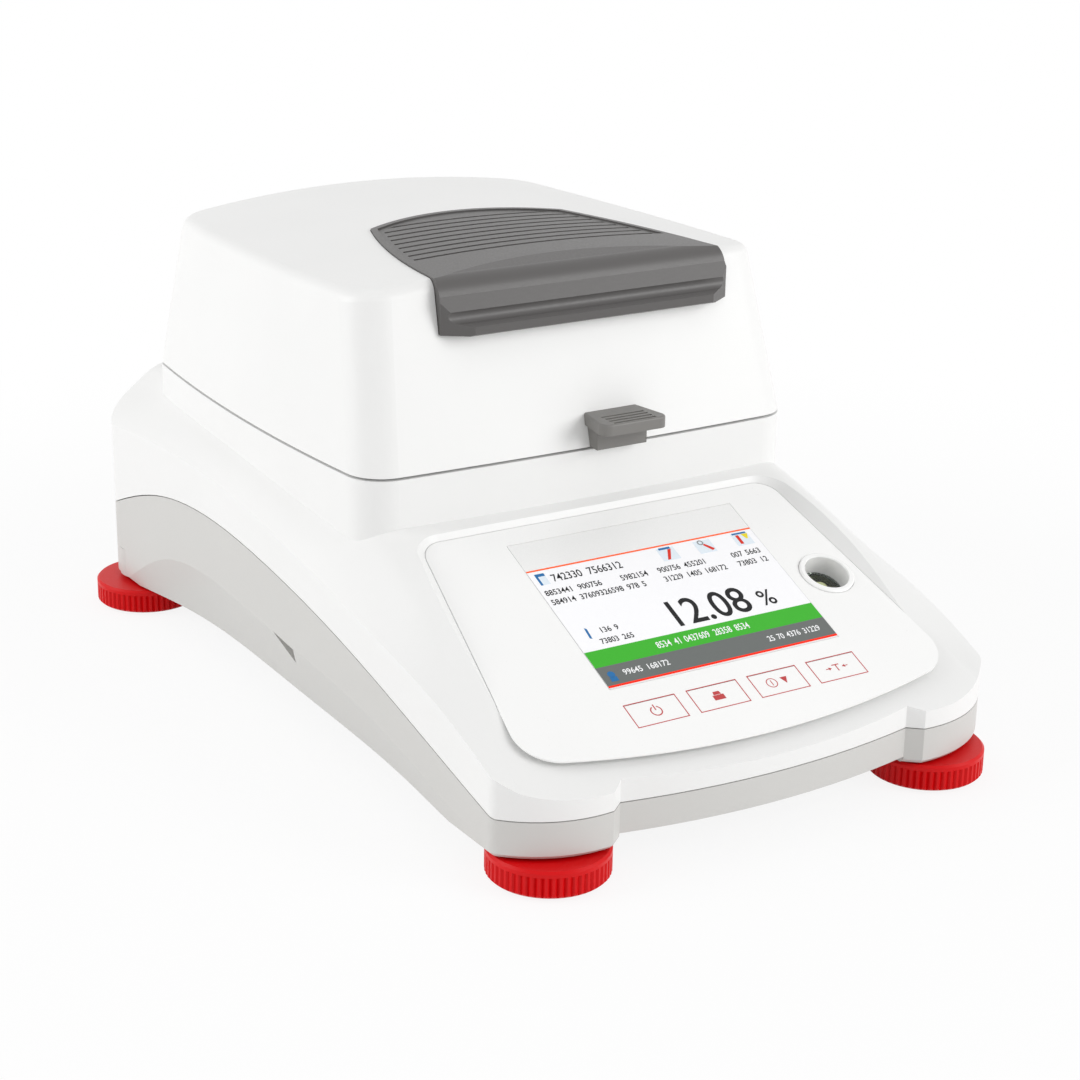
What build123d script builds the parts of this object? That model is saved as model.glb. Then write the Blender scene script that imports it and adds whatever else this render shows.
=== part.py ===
from build123d import *
import os
from math import cos, radians, sin

# Moisture analyzer: a bench balance with a heated chamber under a hinged lid.
# The origin is on the bench under the middle of the whole instrument, +Z is up
# and the operator stands at -Y. All sizes are in millimetres.

# Overall form of the base
FRONT_Y = -162.0          # middle of the bulged front
BACK_Y = 164.0            # middle of the back wall
FRONT_HALF = 100.4        # half width at the front corners
BACK_HALF = 107.0         # half width at the back wall
NOTCH_HALF = 58.6         # half width of the front between the two foot lobes
BASE_BOTTOM = 11.5        # underside of the lower housing above the bench
BASE_WALL = 3.0
CORNER_IN = 16.5          # from the front to where the side walls begin
BACK_IN = 4.0             # from the back to where they end
GRIP_MARK_HALF = 97.5     # half width between the bottoms of the two finger marks
HOUSING_GAP = 0.4         # shadow line between the two housings
PARTING_LOW = 24.7        # height of their parting line round the front

# Sloping control panel
PANEL_TILT = 23.24        # degrees
PANEL_Y = -124.6          # where the panel's own origin lies
PANEL_Z = 49.4
RECESS_TOP = 81.0         # up the slope from the panel's origin
RECESS_BOTTOM = -33.5
RECESS_TOP_HALF = 74.0
RECESS_BOTTOM_HALF = 88.0
RECESS_SLOPE = 50.0       # lean of the recess's soft edge from upright, in degrees
OVERLAY_T = 0.6
OVERLAY_GAP = 0.3
PANEL_WALL = 2.5          # housing under the panel
FIT = 0.2                 # clearance round a piece that drops into its opening

# Screen, keys and level, as seen on the panel
SCREEN_X = 4.25
SCREEN_W = 95.04          # a 4.3 inch display
SCREEN_H = 73.0
SCREEN_LOW = -0.5
KEY_NAMES = ("key_power", "key_print", "key_start", "key_tare")
KEY_MIDDLE_X = 4.61
KEY_W = 19.7
KEY_H = 10.0
KEY_SPACE = 5.22          # between two keys
KEY_DROP = 8.14           # from the screen down to the keys
KEY_GAP = 0.25
KEY_TRAVEL = 0.4
LEVEL_ASIDE = 15.23       # from the screen's edge to the middle of the level
LEVEL_V = 29.2
LEVEL_R = 8.2
LEVEL_RIM = 2.1           # visible width of its ring
LEVEL_SLEEVE_T = 1.0
LEVEL_DEPTH = 13.0
KEY_PITCH = KEY_W + KEY_SPACE
KEY_FIRST_X = KEY_MIDDLE_X - 1.5 * KEY_PITCH
KEY_V = SCREEN_LOW - KEY_DROP - KEY_H / 2
LEVEL_X = SCREEN_X + SCREEN_W / 2 + LEVEL_ASIDE
LEVEL_RING_R = LEVEL_R + LEVEL_RIM

# Lid and the chamber block below it
SEAM_Z = 103.5            # middle of the gap between lid and block
SEAM_GAP = 1.0
LID_FRONT_Y = -44.0
LID_BACK_Y = 145.0
LID_END_HALF = 89.4       # half width at the front and back corners
LID_MID_HALF = 94.9       # half width where the sides bow out
LID_LOFT_TOP = SEAM_Z + 71.5    # above the crowned top
LID_CORNER = 14.0
LID_EDGE_R = 5.0          # rounding between the top and the sides
LID_WALL = 3.0
LID_ROOF = 6.5            # from the crowned top down to the inner cavity

# Louvred grille that wraps from the lid's top over its front edge
GRILLE_X = 4.5
GRILLE_BACK_Y = 65.0
GRILLE_BACK_HALF = 42.0
GRILLE_EDGE_HALF = 58.5   # half width where it turns over the front edge
GRILLE_FRONT_HALF = 61.5
GRILLE_LOW_Z = SEAM_Z + 45.5
GRILLE_SEAT = 1.4         # depth of its pocket in the lid
GRILLE_PROUD = 0.6
LIP_OUT = 5.0             # from the lip's front back to the lid's front at the seam
LIP_FRONT_HALF = 50.0     # half width of the lip's straight front
LIP_RETURN = 9.0          # depth of the lip's slanted ends
LOUVRES = 9
LOUVRE_PITCH = 6.2
LOUVRE_W = 1.7
LOUVRE_FIRST_Y = 3.4
LOUVRE_MARGIN = 4.5
FIELD_MARGIN = 2.5        # rim round the sunk field of louvres
FIELD_FRONT_Y = -0.5
FIELD_SINK = 0.6

# Lid handle
HANDLE_X = 9.6
HANDLE_ROOT = 21.0
HANDLE_FRONT = 28.5
HANDLE_REACH = 14.3       # how far it stands out from the lid's front
HANDLE_STEM = 5.0
HANDLE_RISE = 12.5        # its top above the seam
HANDLE_T = 4.2
HANDLE_TIP_Y = LID_FRONT_Y - HANDLE_REACH
HANDLE_STEM_Y = LID_FRONT_Y - HANDLE_STEM
HANDLE_TOP_Z = SEAM_Z + HANDLE_RISE

# Hinge behind the lid
HINGE_Y = LID_BACK_Y + 7.5
HINGE_Z = SEAM_Z - 2.5
HINGE_X = 52.0
HINGE_PIN_R = 2.0
HINGE_RUN = 0.05          # radial clearance of the turning knuckles
HINGE_LUG_R = 5.0
LUG_T = 5.0
KNUCKLE_T = 12.0
KNUCKLE_R = 4.8
LUG_SIDE_GAP = 0.3
BRACKET_Z = 92.0          # seat of the brackets on the shelf
BRACKET_D = 11.0
BRACKET_BASE_T = 2.5
BRACKET_W = KNUCKLE_T + 2 * LUG_SIDE_GAP + 2 * LUG_T

# Heated chamber, laid out round the pan. The heights are taken from the seam.
WELL_Y = 48.0
PAN_R = 45.0              # 90 mm sample pan
PAN_H = 7.0
PAN_T = 0.8
PAN_ROOM = 15.0           # from the pan to the wall of the tub
WELL_R = PAN_R + PAN_ROOM
TUB_T = 1.2
TUB_R = WELL_R + TUB_T
TUB_FLANGE = 5.0
TUB_FLOOR_Z = SEAM_Z - 28.5
SHIELD_Z = TUB_FLOOR_Z + 3.2    # underside of the heat shield plate
SHIELD_T = 1.0
SHIELD_R = WELL_R - 6
DRAFT_R = WELL_R - 8
DRAFT_TOP = SEAM_Z - 8.5
DRAFT_NOTCH_Z = SEAM_Z - 22.5
SUPPORT_R = PAN_R - 5
SUPPORT_TOP = SEAM_Z - 15.5
SHAFT_R = 3.0
SHAFT_TOP = SUPPORT_TOP - 4
SHAFT_RUN = 0.05
HANDLER_R = PAN_R + 2
HANDLER_T = 1.2
TAB_W = 14.0
TAB_REACH = WELL_R - 4    # from the pan's axis to the bent end of the tab
TAB_TOP = SEAM_Z - 5.5

# Weighing cell and boards
CELL_Z = 38.0
CELL_H = 22.0
CELL_BACK_Y = 128.0
CELL_PLATE_T = 5.0
BOARD_Z = 24.0

# Heater in the lid
FRAME_Z = SEAM_Z + 1.5
FRAME_T = 2.5
WINDOW_R = WELL_R - 3
COLLAR_T = 3.0
COLLAR_TOP = SEAM_Z + 17.5
LEDGE_R = WINDOW_R - 6
LEDGE_Z = SEAM_Z + 8.5
LEDGE_T = 2.0
SEAL_Z = LEDGE_Z + LEDGE_T
SEAL_T = 1.0
GLASS_R = WINDOW_R - 0.4
GLASS_T = 3.0
RETAINER_T = 1.5
REFLECTOR_TOP = SEAM_Z + 41.5
REFLECTOR_T = 0.8
LAMP_R = PAN_R - 15
LAMP_TUBE_R = 4.5
LAMP_LEG_R = 2.2
LAMP_LEG_ANGLE = 12.0     # degrees to each side of the rear
LAMP_LEG_TOP = REFLECTOR_TOP + 7
LAMP_Z = SEAM_Z + 27.5
SENSOR_R = 1.5
SENSOR_Z = SEAM_Z + 6.1
SENSOR_TIP = WINDOW_R - 8    # distance of its tip from the pan's axis
LID_SCREW_PLACES = [
    (side * half, y) for half, y in ((74, LID_FRONT_Y + 30), (68, LID_BACK_Y - 37)) for side in (-1, 1)
]

# Display and its opening, key switches
DISPLAY_W = SCREEN_W + 9.96
DISPLAY_H = SCREEN_H + 7
DISPLAY_T = 5.0
WINDOW_LIP = 1.6          # how far the housing reaches in under the window
CAP_T = 1.6
PLUNGER_END = 6.2         # below the panel's face
BOARD_T = 1.6

# Sockets in the back wall: middle, width and height
REAR_PANEL_Z = 58.0
REAR_PANEL_W = 168.0
REAR_PANEL_H = 34.0
REAR_RECESS_Y = BACK_Y - 4
SOCKET_DEPTH = 20.0
SOCKETS = {
    "power_inlet": (-58.0, 28.0, 22.0),
    "serial_port": (-8.0, 31.0, 12.0),
    "usb_host_port": (30.0, 14.0, 7.5),
    "usb_device_port": (54.0, 12.0, 11.0),
}
LOCK_SLOT_X = 75.0

# Levelling feet
FOOT_R = 20.7
FOOT_TOP = 10.7
FOOT_FRONT = (FRONT_HALF - 22.2, FRONT_Y + 17.5)
FOOT_BACK = (BACK_HALF - 11, BACK_Y - 19.5)
PAD_R = 17.0
PAD_T = 2.0
STUD_R = 4.0
STUD_TOP = 29.0
STUD_RUN = 0.06
INSERT_R = 6.5
BOSS_R = 11.0
BOSS_TOP = 24.0
KNURLS = 54
KNURL_TOP = 8.6

# Screws that hold the two housings together, from below
TRAY_FLOOR = BASE_BOTTOM + 3.5
SCREW_PLACES = [
    (side * half, y)
    for half, y in ((70, FRONT_Y + 42), (80, 0), (75, BACK_Y - 39))
    for side in (-1, 1)
]
SCREW_R = 1.7
SCREW_HEAD_R = 3.2
SCREW_HEAD_DEPTH = 4.0
SCREW_BOSS_R = 6.0
SCREW_BOSS_TOP = 24.0
SCREW_TOP = 36.0
RUN = 0.05

os.makedirs("parts", exist_ok=True)


def save(builder, name):
    builder.part.label = name
    export_step(builder.part, "parts/" + name + ".step")


panel = Plane(
    origin=(0, PANEL_Y, PANEL_Z),
    x_dir=(1, 0, 0),
    z_dir=(0, -sin(radians(PANEL_TILT)), cos(radians(PANEL_TILT))),
)
foot_places = {
    "fl": (-FOOT_FRONT[0], FOOT_FRONT[1]),
    "fr": (FOOT_FRONT[0], FOOT_FRONT[1]),
    "bl": (-FOOT_BACK[0], FOOT_BACK[1]),
    "br": (FOOT_BACK[0], FOOT_BACK[1]),
}


# The base seen from above: a bulged middle between two lobes over the front feet
def base_outline(z, inset=0):
    with BuildSketch(Plane.XY.offset(z)) as outline:
        with BuildLine():
            notch = (NOTCH_HALF, FRONT_Y + 6.2)
            step = (NOTCH_HALF + 5.0, FRONT_Y + 2.0)
            corner = (FRONT_HALF, FRONT_Y + CORNER_IN)
            lobe = (FRONT_HALF - 16.4, FRONT_Y + 4.7)
            back = (BACK_HALF, BACK_Y - BACK_IN)
            ThreePointArc((-notch[0], notch[1]), (0, FRONT_Y), notch)
            Line(notch, step)
            ThreePointArc(step, lobe, corner)
            Line(corner, back)
            ThreePointArc(back, (0, BACK_Y), (-back[0], back[1]))
            Line((-back[0], back[1]), (-corner[0], corner[1]))
            ThreePointArc((-corner[0], corner[1]), (-lobe[0], lobe[1]), (-step[0], step[1]))
            Line((-step[0], step[1]), (-notch[0], notch[1]))
        make_face()
        corners = outline.vertices().sort_by(Axis.Y)
        fillet(corners[-2:], 14)
        sides = outline.vertices().filter_by(lambda v: abs(abs(v.X) - FRONT_HALF) < 0.01)
        fillet(sides, 5)
        if inset:
            offset(amount=-inset, kind=Kind.INTERSECTION, mode=Mode.REPLACE)
    return outline.sketch


# The lid seen from above at its seam, or further up where it is smaller
def lid_outline(front, back, front_half, mid_half, back_half, z=0, inset=0):
    mid_y = (front + back) / 2
    with BuildSketch(Plane.XY.offset(z)) as outline:
        with BuildLine():
            ThreePointArc((-front_half, front + 2), (0, front), (front_half, front + 2))
            ThreePointArc((front_half, front + 2), (mid_half, mid_y), (back_half, back - 2))
            ThreePointArc((back_half, back - 2), (0, back), (-back_half, back - 2))
            ThreePointArc((-back_half, back - 2), (-mid_half, mid_y), (-front_half, front + 2))
        make_face()
        if inset:
            offset(amount=-inset, kind=Kind.INTERSECTION, mode=Mode.REPLACE)
        fillet(outline.vertices(), LID_CORNER - inset)
    return outline.sketch


def lid_seam_outline(z=0, inset=0):
    return lid_outline(
        LID_FRONT_Y, LID_BACK_Y, LID_END_HALF, LID_MID_HALF, LID_END_HALF, z, inset
    )


# Cross-section of the crowned lid top, flatter in front than behind
def crown_section(y, middle, fall, drop):
    with BuildSketch(Plane.XZ.offset(-y)) as section:
        with BuildLine():
            top = middle - drop
            ThreePointArc((100, top - fall), (0, top), (-100, top - fall))
            Polyline((-100, top - fall), (-100, 60), (100, 60), (100, top - fall))
        make_face()
    return section.sketch


# From front to back: place, height in the middle, fall to the sides
CROWN = ((LID_FRONT_Y - 16, SEAM_Z + 65.4, 4.4), (LID_BACK_Y + 15, SEAM_Z + 64.3, 11.0))


def crown_sections(drop):
    return [crown_section(y, middle, fall, drop) for y, middle, fall in CROWN]


# Cross-section of the deck and its falling shoulders at one place along the base
def deck_section(y, flat_half, flat_z, bend, side_z, drop):
    edge = BACK_HALF + 4
    with BuildSketch(Plane.XZ.offset(-y)) as section:
        with BuildLine():
            top = flat_z - drop
            Line((flat_half, top), (-flat_half, top))
            Spline(
                (-flat_half, top),
                (-bend[0], bend[1] - drop),
                (-edge, side_z - drop),
                tangents=[(-1, 0), (-0.35, -1)],
            )
            Polyline((-edge, side_z - drop), (-edge, 0), (edge, 0), (edge, side_z - drop))
            Spline(
                (edge, side_z - drop),
                (bend[0], bend[1] - drop),
                (flat_half, top),
                tangents=[(-0.35, 1), (-1, 0)],
            )
        make_face()
    return section.sketch


# From front to back: place, half width of the flat, its height, bend, side height
DECK = (
    (FRONT_Y - 13, 93.0, 28.9, (101.0, 27.6), 21.0),
    (-110.0, 86.0, 57.1, (97.0, 54.0), 40.0),
    (-50.0, 77.0, 83.4, (91.0, 75.8), 50.0),
    (20.0, 76.0, 92.5, (94.5, 86.0), 62.0),
    (90.0, 76.0, 96.0, (94.0, 90.0), 70.0),
    (BACK_Y + 8, 76.0, 92.0, (95.0, 85.0), 66.0),
)


def deck_sections(drop):
    return [deck_section(*row, drop) for row in DECK]


# Side view of the parting line: level round the front, arched along each side
def parting_line(rise):
    knee = (FRONT_Y + 15.5, PARTING_LOW + rise)
    Line((FRONT_Y - 18, PARTING_LOW + rise), knee)
    Spline(
        knee,
        (-100, 36.8 + rise),
        (-50, 49.2 + rise),
        (10, 59.4 + rise),
        (64, 62.9 + rise),
        (104, 58.2 + rise),
        (BACK_Y - 25, 46.9 + rise),
        (BACK_Y + 6, 33.0 + rise),
    )


# Outline of the recess that holds the printed panel
def recess_outline(level, inset=0):
    with BuildSketch(panel.offset(level)) as outline:
        low = RECESS_BOTTOM + 11.5
        with BuildLine():
            Line((-RECESS_TOP_HALF, RECESS_TOP), (RECESS_TOP_HALF, RECESS_TOP))
            Line((RECESS_TOP_HALF, RECESS_TOP), (RECESS_BOTTOM_HALF, low))
            ThreePointArc((RECESS_BOTTOM_HALF, low), (0, RECESS_BOTTOM), (-RECESS_BOTTOM_HALF, low))
            Line((-RECESS_BOTTOM_HALF, low), (-RECESS_TOP_HALF, RECESS_TOP))
        make_face()
        ordered = outline.vertices().sort_by(Axis.Y)
        fillet(ordered[:2], 15)
        fillet(outline.vertices().sort_by(Axis.Y)[-2:], 9)
        if inset:
            offset(amount=-inset, kind=Kind.INTERSECTION, mode=Mode.REPLACE)
    return outline.sketch


key_places = [(KEY_FIRST_X + KEY_PITCH * i, KEY_V) for i in range(len(KEY_NAMES))]
screen_place = (SCREEN_X, SCREEN_LOW + SCREEN_H / 2)


UP = (0, 0, 1)
BLOCK_TOP = SEAM_Z - SEAM_GAP / 2
LID_BOTTOM = SEAM_Z + SEAM_GAP / 2


# Everything of the base above the bench, drawn in by a wall thickness for the cavity.
# The outer form has the recess for the film, with a soft slope up to the deck.
def base_form(inset=0):
    with BuildPart() as form:
        extrude(base_outline(BASE_BOTTOM + inset, inset), amount=100, dir=UP)
        loft(deck_sections(inset), mode=Mode.INTERSECT)
        if not inset:
            extrude(recess_outline(-OVERLAY_T), amount=OVERLAY_T, mode=Mode.SUBTRACT)
            extrude(recess_outline(0), amount=8, taper=-RECESS_SLOPE, mode=Mode.SUBTRACT)
        extrude(lid_seam_outline(60, inset), amount=BLOCK_TOP - inset - 60, dir=UP)
    return form.part


# The side of the base between the bench and the parting line, or above it
def side_region(rise, above):
    with BuildSketch(Plane.YZ) as region:
        with BuildLine() as edge:
            parting_line(rise)
            end_z = (edge.line @ 1).Y
            far = 200 if above else 0
            Polyline(
                (BACK_Y + 6, end_z),
                (BACK_Y + 6, far),
                (FRONT_Y - 18, far),
                (FRONT_Y - 18, PARTING_LOW + rise),
            )
        make_face()
    return region.sketch


# Side grip: the wall leans in below a line that climbs from the front foot,
# runs level and drops in an arch behind
def grip_section(y, line_z, depth):
    share = (y - FRONT_Y - CORNER_IN) / (BACK_Y - BACK_IN - FRONT_Y - CORNER_IN)
    wall = FRONT_HALF + (BACK_HALF - FRONT_HALF) * share
    with BuildSketch(Plane.XZ.offset(-y)) as section:
        with BuildLine():
            Polyline(
                (wall + 0.02, line_z),
                (wall - depth, BASE_BOTTOM - 1),
                (wall + 20, BASE_BOTTOM - 1),
                (wall + 20, line_z),
                close=True,
            )
        make_face()
    return section.sketch


GRIP = (
    (FRONT_Y + 20, 17.0, 0.4),
    (-90.0, 25.0, 4.6),
    (-30.0, 33.0, 8.0),
    (30.0, 37.0, 9.6),
    (84.0, 37.0, 9.2),
    (BACK_Y - 58, 31.0, 6.6),
    (BACK_Y - 40, 22.0, 3.2),
    (BACK_Y - 26, 13.5, 0.6),
)

with BuildPart() as side_grip:
    loft([grip_section(*row) for row in GRIP])

# Lower housing: a moulded tray with an arched rim
with BuildPart() as lower_housing:
    extrude(base_outline(BASE_BOTTOM), amount=60, dir=UP)
    chamfer(lower_housing.faces().sort_by(Axis.Z)[0].edges(), 1.5)
    extrude(side_region(0, False), amount=130, both=True, mode=Mode.INTERSECT)
    extrude(base_outline(TRAY_FLOOR, 15), amount=60, dir=UP, mode=Mode.SUBTRACT)
    extrude(base_outline(42, BASE_WALL), amount=40, dir=UP, mode=Mode.SUBTRACT)
    for place in foot_places.values():
        with BuildSketch(Plane.XY.offset(BASE_BOTTOM + 1)):
            with Locations(place):
                Circle(BOSS_R)
        extrude(amount=BOSS_TOP - BASE_BOTTOM - 1)
    add(side_grip.part, mode=Mode.SUBTRACT)
    add(side_grip.part.mirror(Plane.YZ), mode=Mode.SUBTRACT)
    # finger mark at the front end of each grip
    for side in (-1, 1):
        with BuildSketch(Plane.YZ.offset(side * GRIP_MARK_HALF)):
            with BuildLine():
                Polyline((5.5, 35.5), (-9.6, 33.8), (-6.9, 27.2), close=True)
            make_face()
        extrude(amount=side * 30, mode=Mode.SUBTRACT)
    # raised middle of the underside
    with BuildSketch(Plane.XY.offset(BASE_BOTTOM)):
        with Locations((0, -15)):
            Rectangle(2 * NOTCH_HALF, 300)
        fillet(vertices(), 6)
    extrude(amount=2.5, mode=Mode.SUBTRACT)
    # bores for the foot inserts
    with BuildSketch(Plane.XY.offset(BASE_BOTTOM - 1)):
        with Locations(*foot_places.values()):
            Circle(INSERT_R)
    extrude(amount=60, mode=Mode.SUBTRACT)
    # screw bosses, counterbored from below
    with BuildSketch(Plane.XY.offset(TRAY_FLOOR - 1)):
        with Locations(*SCREW_PLACES):
            Circle(SCREW_BOSS_R)
    extrude(amount=SCREW_BOSS_TOP - TRAY_FLOOR + 1)
    with Locations(*[(x, y, BASE_BOTTOM) for x, y in SCREW_PLACES]):
        Cylinder(SCREW_R + RUN, 60, mode=Mode.SUBTRACT)
        Cylinder(SCREW_HEAD_R + FIT, 2 * SCREW_HEAD_DEPTH, mode=Mode.SUBTRACT)
    # cooling slots under the boards
    with BuildSketch(Plane.XY.offset(BASE_BOTTOM)):
        with GridLocations(7, 44, 7, 2):
            SlotOverall(30, 2.6, rotation=90)
    extrude(amount=10, mode=Mode.SUBTRACT)
save(lower_housing, "lower_housing")

# Hollow of the upper housing
with BuildPart() as base_cavity:
    add(base_form(BASE_WALL))
    extrude(recess_outline(-OVERLAY_T - PANEL_WALL, -5), amount=30, mode=Mode.SUBTRACT)
    # the wall under the panel is flat on its inner side
    extrude(recess_outline(-OVERLAY_T - PANEL_WALL, 4), amount=-12)
    # thick pads under the hinge brackets stay solid
    with Locations(*[(side * HINGE_X, HINGE_Y, BRACKET_Z) for side in (-1, 1)]):
        Box(BRACKET_W + 6, BRACKET_D + 6, 12, mode=Mode.SUBTRACT)

# Posts that stand on the lower housing's screw bosses
with BuildPart() as screw_posts:
    with BuildSketch(Plane.XY.offset(SCREW_BOSS_TOP)):
        with Locations(*SCREW_PLACES):
            Circle(SCREW_BOSS_R - 1)
    extrude(amount=80)
    add(base_form(1), mode=Mode.INTERSECT)

# Upper housing: sloping deck, falling shoulders and the block below the lid
with BuildPart() as upper_housing:
    add(base_form())
    add(base_cavity.part, mode=Mode.SUBTRACT)
    with Locations((0, REAR_RECESS_Y - BASE_WALL / 2, REAR_PANEL_Z)):
        Box(REAR_PANEL_W + 6, BASE_WALL, REAR_PANEL_H + 4)
    extrude(side_region(HOUSING_GAP, True), amount=130, both=True, mode=Mode.INTERSECT)
    add(screw_posts.part)
    # windows for the display, the keys and the level
    with BuildSketch(panel.offset(-10)):
        with Locations(screen_place):
            Rectangle(SCREEN_W - 2 * WINDOW_LIP, SCREEN_H - 2 * WINDOW_LIP)
        with Locations(*key_places):
            Rectangle(KEY_W + 2 * KEY_GAP, KEY_H + 2 * KEY_GAP)
        with Locations((LEVEL_X, LEVEL_V)):
            Circle(LEVEL_R + LEVEL_SLEEVE_T + FIT)
    extrude(amount=12, mode=Mode.SUBTRACT)
    # opening for the heating chamber, with a seat for its flange
    with Locations((0, WELL_Y, BLOCK_TOP)):
        Cylinder(TUB_R + FIT, 3 * BASE_WALL, mode=Mode.SUBTRACT)
        Cylinder(TUB_R + TUB_FLANGE + FIT, 2 * TUB_T, mode=Mode.SUBTRACT)
    # flat recess in the back wall, with the socket openings and the lock slot
    with Locations((0, REAR_RECESS_Y, REAR_PANEL_Z)):
        Box(
            REAR_PANEL_W,
            20,
            REAR_PANEL_H,
            align=(Align.CENTER, Align.MIN, Align.CENTER),
            mode=Mode.SUBTRACT,
        )
    with BuildSketch(Plane.XZ.offset(-REAR_RECESS_Y + 6)):
        for x, wide, high in SOCKETS.values():
            with Locations((x, REAR_PANEL_Z)):
                Rectangle(wide + 2 * FIT, high + 2 * FIT)
        with Locations((LOCK_SLOT_X, REAR_PANEL_Z)):
            SlotOverall(7, 3)
    extrude(amount=-20, mode=Mode.SUBTRACT)
    # seats on the shelf behind the lid for the hinge brackets
    with Locations(*[(side * HINGE_X, HINGE_Y, BRACKET_Z + 10) for side in (-1, 1)]):
        Box(BRACKET_W + 2 * FIT, BRACKET_D + 2 * FIT, 20, mode=Mode.SUBTRACT)
    # holes up the screw posts
    with Locations(*[(x, y, SCREW_BOSS_TOP) for x, y in SCREW_PLACES]):
        Cylinder(SCREW_R + RUN, 2 * (SCREW_TOP - SCREW_BOSS_TOP) + 2, mode=Mode.SUBTRACT)
save(upper_housing, "upper_housing")

with BuildPart() as housing_screws:
    with BuildSketch(Plane.XY.offset(BASE_BOTTOM + 1)):
        with Locations(*SCREW_PLACES):
            Circle(SCREW_HEAD_R)
    extrude(amount=SCREW_HEAD_DEPTH - 1)
    with BuildSketch(Plane.XY.offset(BASE_BOTTOM + SCREW_HEAD_DEPTH)):
        with Locations(*SCREW_PLACES):
            Circle(SCREW_R)
    extrude(amount=SCREW_TOP - BASE_BOTTOM - SCREW_HEAD_DEPTH)
save(housing_screws, "housing_screws")

# Printed film over the panel, cut out round the screen window, keys and level
with BuildPart() as panel_overlay:
    extrude(recess_outline(-OVERLAY_T, OVERLAY_GAP), amount=OVERLAY_T)
    with BuildSketch(panel.offset(-2)):
        with Locations(screen_place):
            Rectangle(SCREEN_W + 2 * FIT, SCREEN_H + 2 * FIT)
        with Locations(*key_places):
            Rectangle(KEY_W + 2 * KEY_GAP, KEY_H + 2 * KEY_GAP)
        with Locations((LEVEL_X, LEVEL_V)):
            Circle(LEVEL_RING_R + FIT)
    extrude(amount=4, mode=Mode.SUBTRACT)
save(panel_overlay, "panel_overlay")

with BuildPart() as display_window:
    with BuildSketch(panel.offset(-OVERLAY_T)):
        with Locations(screen_place):
            Rectangle(SCREEN_W, SCREEN_H)
    extrude(amount=OVERLAY_T)
save(display_window, "display_window")

# Display: a flat module under the panel, its glass raised through the housing
with BuildPart() as display_module:
    with BuildSketch(panel.offset(-OVERLAY_T - PANEL_WALL)):
        with Locations(screen_place):
            Rectangle(DISPLAY_W, DISPLAY_H)
    extrude(amount=-DISPLAY_T)
    with BuildSketch(panel.offset(-OVERLAY_T - PANEL_WALL)):
        with Locations(screen_place):
            Rectangle(SCREEN_W - 2 * WINDOW_LIP - 2 * FIT, SCREEN_H - 2 * WINDOW_LIP - 2 * FIT)
    extrude(amount=PANEL_WALL)
save(display_module, "display_module")

# Four keys: a flat cap flush with the film and a plunger over its switch
for key_name, place in zip(KEY_NAMES, key_places):
    with BuildPart() as key:
        with BuildSketch(panel.offset(-CAP_T)):
            with Locations(place):
                Rectangle(KEY_W, KEY_H)
        extrude(amount=CAP_T)
        chamfer(key.faces().sort_by(Axis.Z)[-1].edges(), 0.15)
        with BuildSketch(panel.offset(-PLUNGER_END)):
            with Locations(place):
                Rectangle(8, 5)
        extrude(amount=PLUNGER_END - CAP_T)
    save(key, key_name)

# Switch board below the keys, hung from the panel by four spacers
SWITCH_TOP = PLUNGER_END + KEY_TRAVEL + RUN
with BuildPart() as keypad_board:
    middle = (KEY_FIRST_X + 1.5 * KEY_PITCH, KEY_V)
    with BuildSketch(panel.offset(-SWITCH_TOP - 0.6 - BOARD_T)):
        with Locations(middle):
            Rectangle(4 * KEY_PITCH + 6, KEY_H + 6)
    extrude(amount=BOARD_T)
    with BuildSketch(panel.offset(-SWITCH_TOP - 0.6)):
        with Locations(*key_places):
            Circle(2.5)
    extrude(amount=0.6)
    with BuildSketch(panel.offset(-SWITCH_TOP - 0.6)):
        with Locations(middle):
            with GridLocations(4 * KEY_PITCH + 1, KEY_H + 1, 2, 2):
                Circle(1.4)
    extrude(amount=SWITCH_TOP + 0.6 - OVERLAY_T - PANEL_WALL)
save(keypad_board, "keypad_board")

# Level: a ring and sleeve in the panel, with a vial at the bottom of the sleeve
level_place = Location(panel) * Location((LEVEL_X, LEVEL_V, 0))
level_plane = Plane(level_place)
level_axis = Axis(level_plane.origin, level_plane.z_dir)


# A round piece of the level, turned from its half section (radius, height)
def level_turn(*points):
    section_plane = Plane(level_plane.origin, x_dir=level_plane.x_dir, z_dir=-level_plane.y_dir)
    with BuildPart() as turned:
        with BuildSketch(section_plane):
            with BuildLine():
                Polyline(*points, close=True)
            make_face()
        revolve(axis=level_axis)
    return turned


SLEEVE_R = LEVEL_R + LEVEL_SLEEVE_T
level_ring = level_turn(
    (LEVEL_R, -LEVEL_DEPTH),
    (SLEEVE_R, -LEVEL_DEPTH),
    (SLEEVE_R, -OVERLAY_T),
    (LEVEL_RING_R, -OVERLAY_T),
    (LEVEL_RING_R, 0.5),
    (LEVEL_RING_R - 0.5, 0.9),
    (LEVEL_R + 0.3, 0.9),
    (LEVEL_R, 0.5),
)
save(level_ring, "level_ring")
VIAL_R = LEVEL_R - RUN
level_vial = level_turn(
    (0, -LEVEL_DEPTH),
    (VIAL_R, -LEVEL_DEPTH),
    (VIAL_R, -LEVEL_DEPTH + 5),
    (VIAL_R - 1, -LEVEL_DEPTH + 5),
    (VIAL_R - 1, -LEVEL_DEPTH + 1),
    (0, -LEVEL_DEPTH + 1),
)
save(level_vial, "level_vial")
level_liquid = level_turn(
    (0, -LEVEL_DEPTH + 1),
    (VIAL_R - 1 - RUN, -LEVEL_DEPTH + 1),
    (VIAL_R - 1 - RUN, -LEVEL_DEPTH + 5),
    (0, -LEVEL_DEPTH + 5),
)
save(level_liquid, "level_liquid")
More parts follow.
